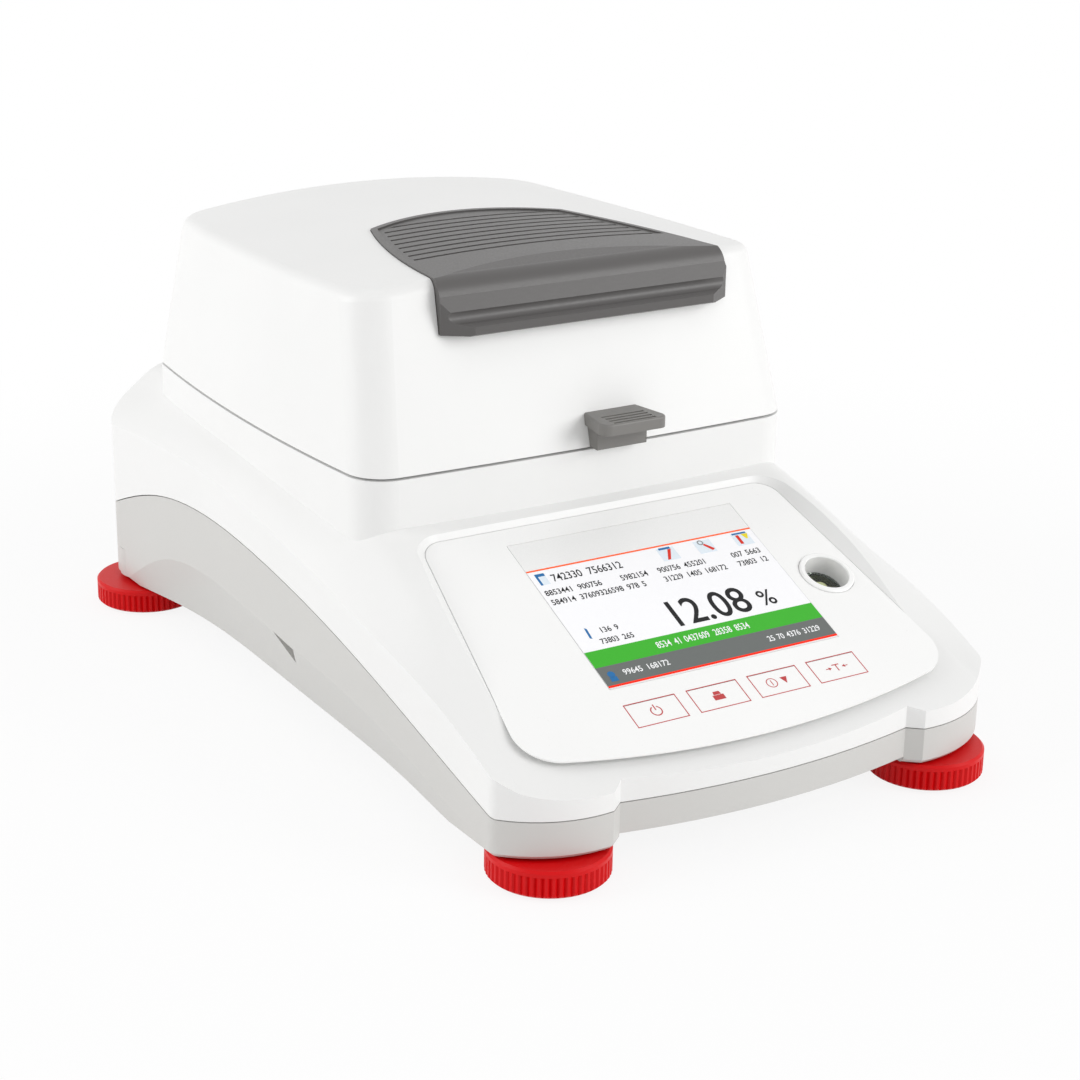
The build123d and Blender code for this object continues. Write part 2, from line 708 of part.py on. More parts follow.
level_lens = level_turn(
    (0, -LEVEL_DEPTH + 5),
    (VIAL_R, -LEVEL_DEPTH + 5),
    (VIAL_R, -LEVEL_DEPTH + 6),
    (0, -LEVEL_DEPTH + 6.6),
)
save(level_lens, "level_lens")

# Heating chamber, all turned about the upright axis of the pan
well_plane = Plane(origin=(0, WELL_Y, 0), x_dir=(1, 0, 0), z_dir=(0, -1, 0))
well_axis = Axis((0, WELL_Y, 0), (0, 0, 1))


# A round piece of the chamber, turned from its half section (radius, height)
def well_turn(*points):
    with BuildPart() as turned:
        with BuildSketch(well_plane):
            with BuildLine():
                Polyline(*points, close=True)
            make_face()
        revolve(axis=well_axis)
    return turned


SHAFT_HOLE = SHAFT_R + 3
chamber_tub = well_turn(
    (SHAFT_HOLE, TUB_FLOOR_Z),
    (TUB_R, TUB_FLOOR_Z),
    (TUB_R, BLOCK_TOP - TUB_T),
    (TUB_R + TUB_FLANGE, BLOCK_TOP - TUB_T),
    (TUB_R + TUB_FLANGE, BLOCK_TOP),
    (WELL_R + 0.8, BLOCK_TOP),
    (WELL_R, BLOCK_TOP - 0.8),
    (WELL_R, TUB_FLOOR_Z + TUB_T),
    (SHAFT_HOLE, TUB_FLOOR_Z + TUB_T),
)
save(chamber_tub, "chamber_tub")

# Heat shield: a plate on three short studs
with BuildPart() as heat_shield:
    with BuildSketch(Plane.XY.offset(SHIELD_Z)):
        with Locations((0, WELL_Y)):
            Circle(SHIELD_R)
            Circle(SHAFT_HOLE + 2, mode=Mode.SUBTRACT)
            with PolarLocations(SHIELD_R - 18, 6):
                SlotOverall(16, 5, rotation=90, mode=Mode.SUBTRACT)
    extrude(amount=SHIELD_T)
    with BuildSketch(Plane.XY.offset(TUB_FLOOR_Z + TUB_T)):
        with Locations((0, WELL_Y)):
            with PolarLocations(SHIELD_R - 6, 3, start_angle=30):
                Circle(2.5)
    extrude(amount=SHIELD_Z - TUB_FLOOR_Z - TUB_T)
save(heat_shield, "heat_shield")

# Draft shield: a ring round the pan, notched in front for the pan handler
RING_BASE = SHIELD_Z + SHIELD_T
with BuildPart() as draft_shield:
    with BuildSketch(Plane.XY.offset(RING_BASE)):
        with Locations((0, WELL_Y)):
            Circle(DRAFT_R)
            Circle(DRAFT_R - 1.2, mode=Mode.SUBTRACT)
    extrude(amount=DRAFT_TOP - RING_BASE)
    with BuildSketch(Plane.XY.offset(DRAFT_TOP - 1.5)):
        with Locations((0, WELL_Y)):
            Circle(DRAFT_R + 1.5)
            Circle(DRAFT_R - 1.2, mode=Mode.SUBTRACT)
    extrude(amount=1.5)
    with Locations((0, WELL_Y - DRAFT_R, DRAFT_NOTCH_Z + 20)):
        Box(TAB_W + 6, 20, 40, mode=Mode.SUBTRACT)
save(draft_shield, "draft_shield")

# Pan support: a hub on the load cell's shaft with three arms and a ring
with BuildPart() as pan_support:
    with BuildSketch(Plane.XY.offset(SUPPORT_TOP - 2)):
        with Locations((0, WELL_Y)):
            Circle(SUPPORT_R)
            Circle(SUPPORT_R - 3, mode=Mode.SUBTRACT)
            Circle(7)
            with PolarLocations(SUPPORT_R / 2, 3, start_angle=90):
                Rectangle(SUPPORT_R - 4, 5)
    extrude(amount=2)
    with BuildSketch(Plane.XY.offset(RING_BASE + 0.8)):
        with Locations((0, WELL_Y)):
            Circle(5.5)
    extrude(amount=SUPPORT_TOP - RING_BASE - 0.8)
    with BuildSketch(Plane.XY.offset(RING_BASE)):
        with Locations((0, WELL_Y)):
            Circle(SHAFT_R + SHAFT_RUN)
    extrude(amount=SHAFT_TOP - RING_BASE, mode=Mode.SUBTRACT)
save(pan_support, "pan_support")

# Pan handler: a flat ring under the pan with a bent tab to lift it by
with BuildPart() as pan_handler:
    with BuildSketch(Plane.XY.offset(SUPPORT_TOP)):
        with Locations((0, WELL_Y)):
            Circle(HANDLER_R)
        with Locations((0, WELL_Y - TAB_REACH / 2)):
            Rectangle(TAB_W, TAB_REACH)
        with Locations((0, WELL_Y)):
            Circle(SUPPORT_R - 8, mode=Mode.SUBTRACT)
    extrude(amount=HANDLER_T)
    with Locations((0, WELL_Y - TAB_REACH + HANDLER_T / 2, SUPPORT_TOP)):
        Box(
            TAB_W,
            HANDLER_T,
            TAB_TOP - SUPPORT_TOP,
            align=(Align.CENTER, Align.CENTER, Align.MIN),
        )
save(pan_handler, "pan_handler")

# Sample pan: a shallow pressed dish with a rolled rim
PAN_Z = SUPPORT_TOP + HANDLER_T
sample_pan = well_turn(
    (0, PAN_Z),
    (PAN_R - 1.5, PAN_Z),
    (PAN_R, PAN_Z + 1.5),
    (PAN_R, PAN_Z + PAN_H - 1),
    (PAN_R + 0.8, PAN_Z + PAN_H - 1),
    (PAN_R + 0.8, PAN_Z + PAN_H),
    (PAN_R - PAN_T, PAN_Z + PAN_H),
    (PAN_R - PAN_T, PAN_Z + 1.8),
    (PAN_R - 1.8, PAN_Z + PAN_T),
    (0, PAN_Z + PAN_T),
)
save(sample_pan, "sample_pan")

# Weighing cell: a milled bar on a pillar, its free end under the pan
with BuildPart() as load_cell_mount:
    with Locations((0, 62, TRAY_FLOOR)):
        Box(56, 136, CELL_PLATE_T, align=(Align.CENTER, Align.CENTER, Align.MIN))
    with Locations((0, CELL_BACK_Y - 11, TRAY_FLOOR + CELL_PLATE_T)):
        Box(24, 22, CELL_Z - TRAY_FLOOR - CELL_PLATE_T, align=(Align.CENTER, Align.CENTER, Align.MIN))
save(load_cell_mount, "load_cell_mount")

with BuildPart() as load_cell:
    with BuildSketch(Plane.YZ):
        with Locations(((CELL_BACK_Y + WELL_Y - 12) / 2, CELL_Z + CELL_H / 2)):
            Rectangle(CELL_BACK_Y - WELL_Y + 12, CELL_H)
            with GridLocations(38, 0, 2, 1):
                Circle(8, mode=Mode.SUBTRACT)
            Rectangle(38, 7, mode=Mode.SUBTRACT)
    extrude(amount=12, both=True)
save(load_cell, "load_cell")

with BuildPart() as pan_shaft:
    with BuildSketch(Plane.XY.offset(CELL_Z + CELL_H)):
        with Locations((0, WELL_Y)):
            Circle(SHAFT_R + 2)
    extrude(amount=3)
    with BuildSketch(Plane.XY.offset(CELL_Z + CELL_H + 3)):
        with Locations((0, WELL_Y)):
            Circle(SHAFT_R)
    extrude(amount=SHAFT_TOP - CELL_Z - CELL_H - 3)
save(pan_shaft, "pan_shaft")


# A circuit board on four spacers, with its larger components: middle, size, height
def board(x, y, wide, deep, components):
    with BuildPart() as built:
        with Locations((x, y, BOARD_Z)):
            Box(wide, deep, BOARD_T, align=(Align.CENTER, Align.CENTER, Align.MIN))
        with Locations((x, y, TRAY_FLOOR)):
            with GridLocations(wide - 10, deep - 10, 2, 2):
                Cylinder(3, BOARD_Z - TRAY_FLOOR, align=(Align.CENTER, Align.CENTER, Align.MIN))
        for dx, dy, cx, cy, cz in components:
            with Locations((x + dx, y + dy, BOARD_Z + BOARD_T)):
                Box(cx, cy, cz, align=(Align.CENTER, Align.CENTER, Align.MIN))
    return built


main_board = board(-4, -88, 112, 60, ((-30, 5, 22, 22, 3), (15, 12, 14, 14, 2.5), (35, -16, 26, 9, 5)))
save(main_board, "main_board")
power_supply = board(58, 62, 50, 96, ((-8, -26, 28, 30, 17), (10, 20, 16, 30, 14), (-14, 24, 14, 14, 12)))
save(power_supply, "power_supply")

# Feet: a knurled knob on a threaded stud, a brass insert and a rubber pad
with BuildPart() as foot_inserts:
    with BuildSketch(Plane.XY.offset(BASE_BOTTOM)):
        with Locations(*foot_places.values()):
            Circle(INSERT_R)
            Circle(STUD_R + STUD_RUN, mode=Mode.SUBTRACT)
    extrude(amount=BOSS_TOP - BASE_BOTTOM)
save(foot_inserts, "foot_inserts")

for corner, place in foot_places.items():
    with BuildPart() as foot_knob:
        with BuildSketch(Plane.XY.offset(PAD_T - 0.8)):
            with Locations(place):
                Circle(FOOT_R)
        extrude(amount=FOOT_TOP - PAD_T + 0.8)
        chamfer(foot_knob.edges(), 0.8)
        with BuildSketch(Plane.XY.offset(PAD_T - 0.8)):
            with Locations(place):
                Circle(PAD_R + 0.4)
        extrude(amount=0.8 + RUN, mode=Mode.SUBTRACT)
        with BuildSketch(Plane.XY.offset(PAD_T - 1)):
            with Locations(place):
                with PolarLocations(FOOT_R, KNURLS):
                    Rectangle(1.1, 1.1, rotation=45)
        extrude(amount=KNURL_TOP - PAD_T + 1, mode=Mode.SUBTRACT)
        with BuildSketch(Plane.XY.offset(FOOT_TOP)):
            with Locations(place):
                Circle(STUD_R)
        extrude(amount=STUD_TOP - FOOT_TOP)
    save(foot_knob, "foot_knob_" + corner)
    with BuildPart() as foot_pad:
        with BuildSketch():
            with Locations(place):
                Circle(PAD_R)
        extrude(amount=PAD_T)
        chamfer(foot_pad.edges().sort_by(Axis.Z)[:1], 0.5)
    save(foot_pad, "foot_pad_" + corner)


# Sockets in the back wall: a shell open to the back with its contacts inside
def socket(name, mouth_wide, mouth_high, contacts):
    x, wide, high = SOCKETS[name]
    face_y = REAR_RECESS_Y + 1
    with BuildPart() as built:
        with BuildSketch(Plane.XZ.offset(-face_y)):
            with Locations((x, REAR_PANEL_Z)):
                Rectangle(wide, high)
        extrude(amount=SOCKET_DEPTH)
        with BuildSketch(Plane.XZ.offset(-face_y)):
            with Locations((x, REAR_PANEL_Z)):
                Rectangle(mouth_wide, mouth_high)
            fillet(vertices(), 1)
        extrude(amount=SOCKET_DEPTH - 4, mode=Mode.SUBTRACT)
        with BuildSketch(Plane.XZ.offset(-face_y + SOCKET_DEPTH - 3.5)):
            for dx, dz, cw, ch in contacts:
                with Locations((x + dx, REAR_PANEL_Z + dz)):
                    Rectangle(cw, ch)
        extrude(amount=-(SOCKET_DEPTH - 6))
    return built


power_inlet = socket("power_inlet", 24, 17, ((-7, -2, 2, 4), (0, 2, 2, 4), (7, -2, 2, 4)))
save(power_inlet, "power_inlet")
serial_port = socket("serial_port", 20, 9, ((0, 0, 16, 3),))
save(serial_port, "serial_port")
usb_host_port = socket("usb_host_port", 12.4, 5.4, ((0, 1.2, 10, 1.6),))
save(usb_host_port, "usb_host_port")
usb_device_port = socket("usb_device_port", 9, 8, ((0, 0, 5.6, 3.4),))
save(usb_device_port, "usb_device_port")

# Rubber stops on the block that carry the closed lid's frame
with BuildPart() as lid_bumpers:
    with BuildSketch(Plane.XY.offset(BLOCK_TOP)):
        with Locations(*[(side * 72, y) for y in (LID_FRONT_Y + 24, LID_BACK_Y - 27) for side in (-1, 1)]):
            Circle(4)
    extrude(amount=FRAME_Z - BLOCK_TOP - RUN)
save(lid_bumpers, "lid_bumpers")

# Hinge brackets: two lugs on a base plate each, with a fixed pin through them
with BuildPart() as hinge_brackets:
    for side in (-1, 1):
        with Locations((side * HINGE_X, HINGE_Y, BRACKET_Z)):
            Box(
                BRACKET_W,
                BRACKET_D,
                BRACKET_BASE_T,
                align=(Align.CENTER, Align.CENTER, Align.MIN),
            )
        for lug in (-1, 1):
            x = side * HINGE_X + lug * (BRACKET_W - LUG_T) / 2
            with BuildSketch(Plane.YZ.offset(x)):
                with Locations((HINGE_Y, HINGE_Z)):
                    Circle(HINGE_LUG_R)
                with Locations((HINGE_Y, (BRACKET_Z + HINGE_Z) / 2)):
                    Rectangle(2 * HINGE_LUG_R, HINGE_Z - BRACKET_Z)
                with Locations((HINGE_Y, HINGE_Z)):
                    Circle(HINGE_PIN_R + FIT / 10, mode=Mode.SUBTRACT)
            extrude(amount=LUG_T / 2, both=True)
save(hinge_brackets, "hinge_brackets")

with BuildPart() as hinge_pins:
    for side in (-1, 1):
        with BuildSketch(Plane.YZ.offset(side * HINGE_X)):
            with Locations((HINGE_Y, HINGE_Z)):
                Circle(HINGE_PIN_R)
        extrude(amount=BRACKET_W / 2, both=True)
save(hinge_pins, "hinge_pins")


# Everything of the lid, drawn in by a wall and lowered by a roof for its cavity
def lid_form(inset=0, drop=0):
    with BuildPart() as form:
        loft([
            lid_seam_outline(LID_BOTTOM, inset),
            lid_outline(
                LID_FRONT_Y + 19.4,
                LID_BACK_Y - 5.5,
                LID_END_HALF - 6.4,
                LID_MID_HALF - 10.9,
                LID_END_HALF - 11.9,
                LID_LOFT_TOP,
                inset,
            ),
        ])
        loft(crown_sections(drop), ruled=True, mode=Mode.INTERSECT)
    return form.part


# The grille seen from above: narrow behind, wide where it turns over the front
def grille_outline(z, outset=0):
    gx = GRILLE_X
    edge_y = LID_FRONT_Y + 24
    corner_y = GRILLE_BACK_Y - 11
    bow = (53.2, 16)
    front_half = GRILLE_FRONT_HALF
    with BuildSketch(Plane.XY.offset(z)) as outline:
        with BuildLine():
            left = (gx - GRILLE_BACK_HALF, corner_y)
            right = (gx + GRILLE_BACK_HALF, corner_y)
            ThreePointArc(left, (gx, GRILLE_BACK_Y), right)
            ThreePointArc(right, (gx + bow[0], bow[1]), (gx + GRILLE_EDGE_HALF, edge_y))
            Polyline(
                (gx + GRILLE_EDGE_HALF, edge_y),
                (gx + front_half, LID_FRONT_Y),
                (gx - front_half, LID_FRONT_Y),
                (gx - GRILLE_EDGE_HALF, edge_y),
            )
            ThreePointArc((gx - GRILLE_EDGE_HALF, edge_y), (gx - bow[0], bow[1]), left)
        make_face()
        if outset:
            offset(amount=outset, kind=Kind.INTERSECTION, mode=Mode.REPLACE)
    return outline.sketch


# Pocket in the lid's skin that the grille drops into
with BuildPart() as grille_pocket:
    extrude(grille_outline(GRILLE_LOW_Z - FIT, FIT), amount=40, dir=UP)
    add(lid_form(GRILLE_SEAT, GRILLE_SEAT), mode=Mode.SUBTRACT)

with BuildPart() as lid_cavity:
    add(lid_form(LID_WALL, LID_ROOF))
    with BuildSketch(Plane.XY.offset(FRAME_Z + FRAME_T)):
        with Locations(*LID_SCREW_PLACES):
            Circle(4)
    extrude(amount=80, mode=Mode.SUBTRACT)

with BuildPart() as lid_shell:
    add(lid_form())
    fillet(lid_shell.faces().sort_by(Axis.Z)[-1].edges(), LID_EDGE_R)
    add(lid_cavity.part, mode=Mode.SUBTRACT)
    add(grille_pocket.part, mode=Mode.SUBTRACT)
    # exhaust openings in the roof below the louvres
    with BuildSketch(Plane.XY.offset(GRILLE_LOW_Z + 1)):
        with Locations((GRILLE_X, LOUVRE_FIRST_Y + (LOUVRES - 1) * LOUVRE_PITCH / 2)):
            with GridLocations(24, 0, 3, 1):
                RectangleRounded(18, 44, 3)
    extrude(amount=40, mode=Mode.SUBTRACT)
    with Locations(*[(x, y, FRAME_Z + FRAME_T) for x, y in LID_SCREW_PLACES]):
        Cylinder(SCREW_R + RUN, 22, mode=Mode.SUBTRACT)
save(lid_shell, "lid_shell")

# Prism over the field of louvres, which lies a little below the grille's rim
with BuildPart() as louvre_field:
    extrude(grille_outline(GRILLE_LOW_Z, -FIELD_MARGIN), amount=40, dir=UP)
    with Locations((GRILLE_X, FIELD_FRONT_Y, GRILLE_LOW_Z)):
        Box(200, 100, 100, align=(Align.CENTER, Align.MAX, Align.CENTER), mode=Mode.SUBTRACT)
    loft(crown_sections(FIELD_SINK - GRILLE_PROUD), ruled=True, mode=Mode.SUBTRACT)

# Front of the grille from the side: a shoulder, a sloping face, a hollow and a lip
LIP_Y = LID_FRONT_Y + LIP_OUT
with BuildPart() as lid_grille:
    extrude(grille_outline(GRILLE_LOW_Z), amount=40, dir=UP)
    with BuildSketch(Plane(origin=(0, LIP_Y, GRILLE_LOW_Z), x_dir=(0, 1, 0), z_dir=(1, 0, 0))):
        with BuildLine():
            Polyline((139, 36), (25, 36), (25, 20.5), (15.5, 19.1))
            ThreePointArc((15.5, 19.1), (9.8, 16.6), (7.8, 13.2))
            Line((7.8, 13.2), (4.8, 8.2))
            ThreePointArc((4.8, 8.2), (5.1, 5.9), (2.6, 4.2))
            Polyline((2.6, 4.2), (0, 3.4), (0, 0.6), (1, 0), (139, 0), (139, 36))
        make_face()
    extrude(amount=100, both=True, mode=Mode.INTERSECT)
    # the lip's two ends run back to the wall
    with BuildSketch(Plane.XY.offset(GRILLE_LOW_Z - 1)):
        for side in (-1, 1):
            with BuildLine():
                Polyline(
                    (GRILLE_X + side * LIP_FRONT_HALF, LIP_Y),
                    (GRILLE_X + side * (GRILLE_FRONT_HALF + 2), LIP_Y + LIP_RETURN),
                    (GRILLE_X + side * (GRILLE_FRONT_HALF + 2), LIP_Y - 5),
                    (GRILLE_X + side * LIP_FRONT_HALF, LIP_Y - 5),
                    close=True,
                )
            make_face()
    extrude(amount=40, mode=Mode.SUBTRACT)
    loft(crown_sections(-GRILLE_PROUD), ruled=True, mode=Mode.INTERSECT)
    add(lid_form(GRILLE_SEAT, GRILLE_SEAT), mode=Mode.SUBTRACT)
    add(louvre_field.part, mode=Mode.SUBTRACT)
    # louvre slots, ended short of the field's rim
    with BuildPart(mode=Mode.SUBTRACT):
        with BuildSketch(Plane.XY.offset(GRILLE_LOW_Z)):
            with Locations((GRILLE_X, LOUVRE_FIRST_Y + (LOUVRES - 1) * LOUVRE_PITCH / 2)):
                with GridLocations(1, LOUVRE_PITCH, 1, LOUVRES):
                    Rectangle(2 * GRILLE_EDGE_HALF, LOUVRE_W)
        extrude(amount=40)
        extrude(
            grille_outline(GRILLE_LOW_Z, -LOUVRE_MARGIN), amount=40, dir=UP, mode=Mode.INTERSECT
        )
save(lid_grille, "lid_grille")

# Handle: a ribbed tab on the front of the lid, on a stem that ends at the seam
with BuildPart() as lid_handle:
    with BuildSketch(Plane.XY.offset(HANDLE_TOP_Z - HANDLE_T)):
        with BuildLine():
            Polyline(
                (HANDLE_X - HANDLE_ROOT / 2, LID_FRONT_Y + 8),
                (HANDLE_X - HANDLE_FRONT / 2, HANDLE_TIP_Y),
                (HANDLE_X + HANDLE_FRONT / 2, HANDLE_TIP_Y),
                (HANDLE_X + HANDLE_ROOT / 2, LID_FRONT_Y + 8),
                close=True,
            )
        make_face()
        fillet(vertices().sort_by(Axis.Y)[:2], 3.5)
    extrude(amount=HANDLE_T)
    fillet(lid_handle.faces().sort_by(Axis.Z)[-1].edges(), 0.8)
    with Locations((HANDLE_X, HANDLE_STEM_Y, LID_BOTTOM)):
        Box(
            HANDLE_ROOT,
            LID_FRONT_Y + 8 - HANDLE_STEM_Y,
            HANDLE_TOP_Z - HANDLE_T - LID_BOTTOM,
            align=(Align.CENTER, Align.MIN, Align.MIN),
        )
    with Locations((HANDLE_X, (HANDLE_TIP_Y + LID_FRONT_Y) / 2 - 1.5, HANDLE_TOP_Z)):
        with GridLocations(1, 2.6, 1, 4):
            Box(HANDLE_ROOT - 3, 1.2, 1.2, mode=Mode.SUBTRACT)
    add(lid_form(), mode=Mode.SUBTRACT)
save(lid_handle, "lid_handle")

# Inner frame of the lid: a plate with a round window and a collar round the heater
with BuildPart() as lid_inner_frame:
    extrude(lid_seam_outline(FRAME_Z), amount=FRAME_T, dir=UP)
    add(lid_form(LID_WALL + FIT, LID_ROOF), mode=Mode.INTERSECT)
    with Locations((0, WELL_Y, FRAME_Z)):
        Cylinder(WINDOW_R, 3 * FRAME_T, mode=Mode.SUBTRACT)
    add(well_turn(
        (WINDOW_R, FRAME_Z),
        (WINDOW_R + COLLAR_T, FRAME_Z),
        (WINDOW_R + COLLAR_T, COLLAR_TOP),
        (WINDOW_R, COLLAR_TOP),
        (WINDOW_R, SEAL_Z),
        (LEDGE_R, SEAL_Z),
        (LEDGE_R, LEDGE_Z),
        (WINDOW_R, LEDGE_Z),
    ).part)
    with Locations(Location((0, WELL_Y + WINDOW_R, SENSOR_Z), (90, 0, 0))):
        Cylinder(SENSOR_R + RUN, 4 * COLLAR_T, mode=Mode.SUBTRACT)
    with Locations(*[(x, y, FRAME_Z) for x, y in LID_SCREW_PLACES]):
        Cylinder(SCREW_R + RUN, 3 * FRAME_T, mode=Mode.SUBTRACT)
        Cylinder(SCREW_HEAD_R + FIT, 3, mode=Mode.SUBTRACT)
save(lid_inner_frame, "lid_inner_frame")

with BuildPart() as lid_screws:
    with BuildSketch(Plane.XY.offset(FRAME_Z + 0.1)):
        with Locations(*LID_SCREW_PLACES):
            Circle(SCREW_HEAD_R)
    extrude(amount=1.4)
    with BuildSketch(Plane.XY.offset(FRAME_Z + 1.5)):
        with Locations(*LID_SCREW_PLACES):
            Circle(SCREW_R)
    extrude(amount=11)
save(lid_screws, "lid_screws")

# Heater stack on the collar's ledge: seal, glass, spring ring, reflector and lamp
glass_seal = well_turn(
    (LEDGE_R + 0.5, SEAL_Z),
    (GLASS_R, SEAL_Z),
    (GLASS_R, SEAL_Z + SEAL_T),
    (LEDGE_R + 0.5, SEAL_Z + SEAL_T),
)
save(glass_seal, "glass_seal")
glass_z = SEAL_Z + SEAL_T
heater_glass = well_turn(
    (0, glass_z),
    (GLASS_R, glass_z),
    (GLASS_R, glass_z + GLASS_T),
    (0, glass_z + GLASS_T),
)
save(heater_glass, "heater_glass")
retainer_z = glass_z + GLASS_T
glass_retainer = well_turn(
    (LEDGE_R, retainer_z),
    (WINDOW_R - FIT / 2, retainer_z),
    (WINDOW_R - FIT / 2, retainer_z + RETAINER_T),
    (LEDGE_R, retainer_z + RETAINER_T),
)
save(glass_retainer, "glass_retainer")
leg_places = [
    (LAMP_R * sin(radians(side * LAMP_LEG_ANGLE)), WELL_Y + LAMP_R * cos(radians(LAMP_LEG_ANGLE)))
    for side in (-1, 1)
]
with BuildPart() as reflector:
    add(well_turn(
        (WINDOW_R + COLLAR_T, COLLAR_TOP),
        (WINDOW_R + COLLAR_T, COLLAR_TOP + REFLECTOR_T),
        (WINDOW_R - 1.4, COLLAR_TOP + REFLECTOR_T),
        (WINDOW_R - 8.4, REFLECTOR_TOP - 9),
        (WINDOW_R - 18.6, REFLECTOR_TOP + REFLECTOR_T),
        (0, REFLECTOR_TOP + REFLECTOR_T),
        (0, REFLECTOR_TOP),
        (WINDOW_R - 19, REFLECTOR_TOP),
        (WINDOW_R - 9, REFLECTOR_TOP - 9.7),
        (WINDOW_R - 2, COLLAR_TOP),
    ).part)
    with Locations(*[(x, y, REFLECTOR_TOP) for x, y in leg_places]):
        Cylinder(LAMP_LEG_R + FIT, 4, mode=Mode.SUBTRACT)
save(reflector, "reflector")

# Halogen lamp: a tube bent round to a ring, its two ends turned up into a socket
lamp_plane = Plane(
    origin=(0, WELL_Y, 0),
    x_dir=(sin(radians(LAMP_LEG_ANGLE)), cos(radians(LAMP_LEG_ANGLE)), 0),
    z_dir=(cos(radians(LAMP_LEG_ANGLE)), -sin(radians(LAMP_LEG_ANGLE)), 0),
)
with BuildPart() as halogen_lamp:
    with BuildSketch(lamp_plane):
        with Locations((LAMP_R, LAMP_Z)):
            Circle(LAMP_TUBE_R)
    revolve(axis=well_axis, revolution_arc=2 * LAMP_LEG_ANGLE - 360)
    with BuildSketch(Plane.XY.offset(LAMP_Z)):
        with Locations(*leg_places):
            Circle(LAMP_LEG_R)
    extrude(amount=LAMP_LEG_TOP - LAMP_Z)
save(halogen_lamp, "halogen_lamp")

with BuildPart() as lamp_socket:
    with Locations((0, leg_places[0][1], REFLECTOR_TOP + REFLECTOR_T)):
        Box(26, 12, LAMP_LEG_TOP + 2 - REFLECTOR_TOP, align=(Align.CENTER, Align.CENTER, Align.MIN))
    with Locations(*[(x, y, LAMP_LEG_TOP) for x, y in leg_places]):
        Cylinder(
            LAMP_LEG_R + RUN,
            20,
            align=(Align.CENTER, Align.CENTER, Align.MAX),
            mode=Mode.SUBTRACT,
        )
save(lamp_socket, "lamp_socket")

with BuildPart() as temperature_sensor:
    with BuildSketch(Plane.XZ.offset(-WELL_Y - SENSOR_TIP)):
        with Locations((0, SENSOR_Z)):
            Circle(SENSOR_R)
    extrude(amount=-(WINDOW_R + COLLAR_T + 6 - SENSOR_TIP))
save(temperature_sensor, "temperature_sensor")

# Hinge arms: a knuckle on each pin, carried by a flange on the lid's rear wall
with BuildPart() as lid_hinge_arms:
    for side in (-1, 1):
        with BuildSketch(Plane.YZ.offset(side * HINGE_X)):
            with Locations((HINGE_Y, HINGE_Z)):
                Circle(KNUCKLE_R)
            with BuildLine():
                Polyline(
                    (HINGE_Y - KNUCKLE_R, HINGE_Z),
                    (HINGE_Y - KNUCKLE_R, FRAME_Z),
                    (LID_BACK_Y - 6, FRAME_Z),
                    (LID_BACK_Y - 6, HINGE_Z + 19),
                    (HINGE_Y - 6.5, HINGE_Z + 19),
                    (HINGE_Y - 3.5, HINGE_Z + 11),
                    (HINGE_Y + 3.2, HINGE_Z + 3.4),
                    close=True,
                )
            make_face()
            with Locations((HINGE_Y, HINGE_Z)):
                Circle(HINGE_PIN_R + HINGE_RUN, mode=Mode.SUBTRACT)
        extrude(amount=KNUCKLE_T / 2, both=True)
    add(lid_form(), mode=Mode.SUBTRACT)
save(lid_hinge_arms, "lid_hinge_arms")
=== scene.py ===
"""Looks of a bench moisture analyzer: finishes, printed film, lit screen and studio."""

import math

import bmesh
import bpy
from mathutils import Matrix, Vector


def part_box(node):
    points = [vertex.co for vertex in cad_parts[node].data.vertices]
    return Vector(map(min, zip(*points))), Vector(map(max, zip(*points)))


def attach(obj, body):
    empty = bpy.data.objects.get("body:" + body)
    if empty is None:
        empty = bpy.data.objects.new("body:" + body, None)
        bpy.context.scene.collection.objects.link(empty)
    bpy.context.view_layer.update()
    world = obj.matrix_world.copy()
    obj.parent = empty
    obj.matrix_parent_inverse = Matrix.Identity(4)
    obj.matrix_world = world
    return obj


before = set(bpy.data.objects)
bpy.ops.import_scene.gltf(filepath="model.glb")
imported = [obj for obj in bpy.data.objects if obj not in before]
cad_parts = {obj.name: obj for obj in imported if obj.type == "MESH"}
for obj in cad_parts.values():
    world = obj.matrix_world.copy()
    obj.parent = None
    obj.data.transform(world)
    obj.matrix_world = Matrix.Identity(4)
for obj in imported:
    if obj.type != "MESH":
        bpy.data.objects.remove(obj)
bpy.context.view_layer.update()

bl_info = {
    "name": "Moisture Analyzer",
    "version": (1, 0, 0),
    "blender": (4, 5, 0),
    "location": "View3D > Sidebar > Analyzer",
    "description": "Finishes, printed panel, lit screen and studio of a moisture analyzer",
    "category": "Object",
}

MM = 0.001
FULL_TURN = 2 * math.pi

INK_THICKNESS = 0.04 * MM
INK_STEP = 0.05 * MM
KEY_INK_LIFT = 0.01 * MM
ARC_STEPS = 28
DIGIT_WIDTH = 0.54  # of a digit, as a share of the font's size

# Levels of the picture's layers, counted in ink steps
ON_PICTURE = 1
ON_BAR = 2

# Heights on the panel in millimetres: the red line's top, and each bar's top
LINE_TOP, STATUS_TOP, MESSAGE_TOP = 0.9, 9.6, 17.2
TOP_LINE = 0.7

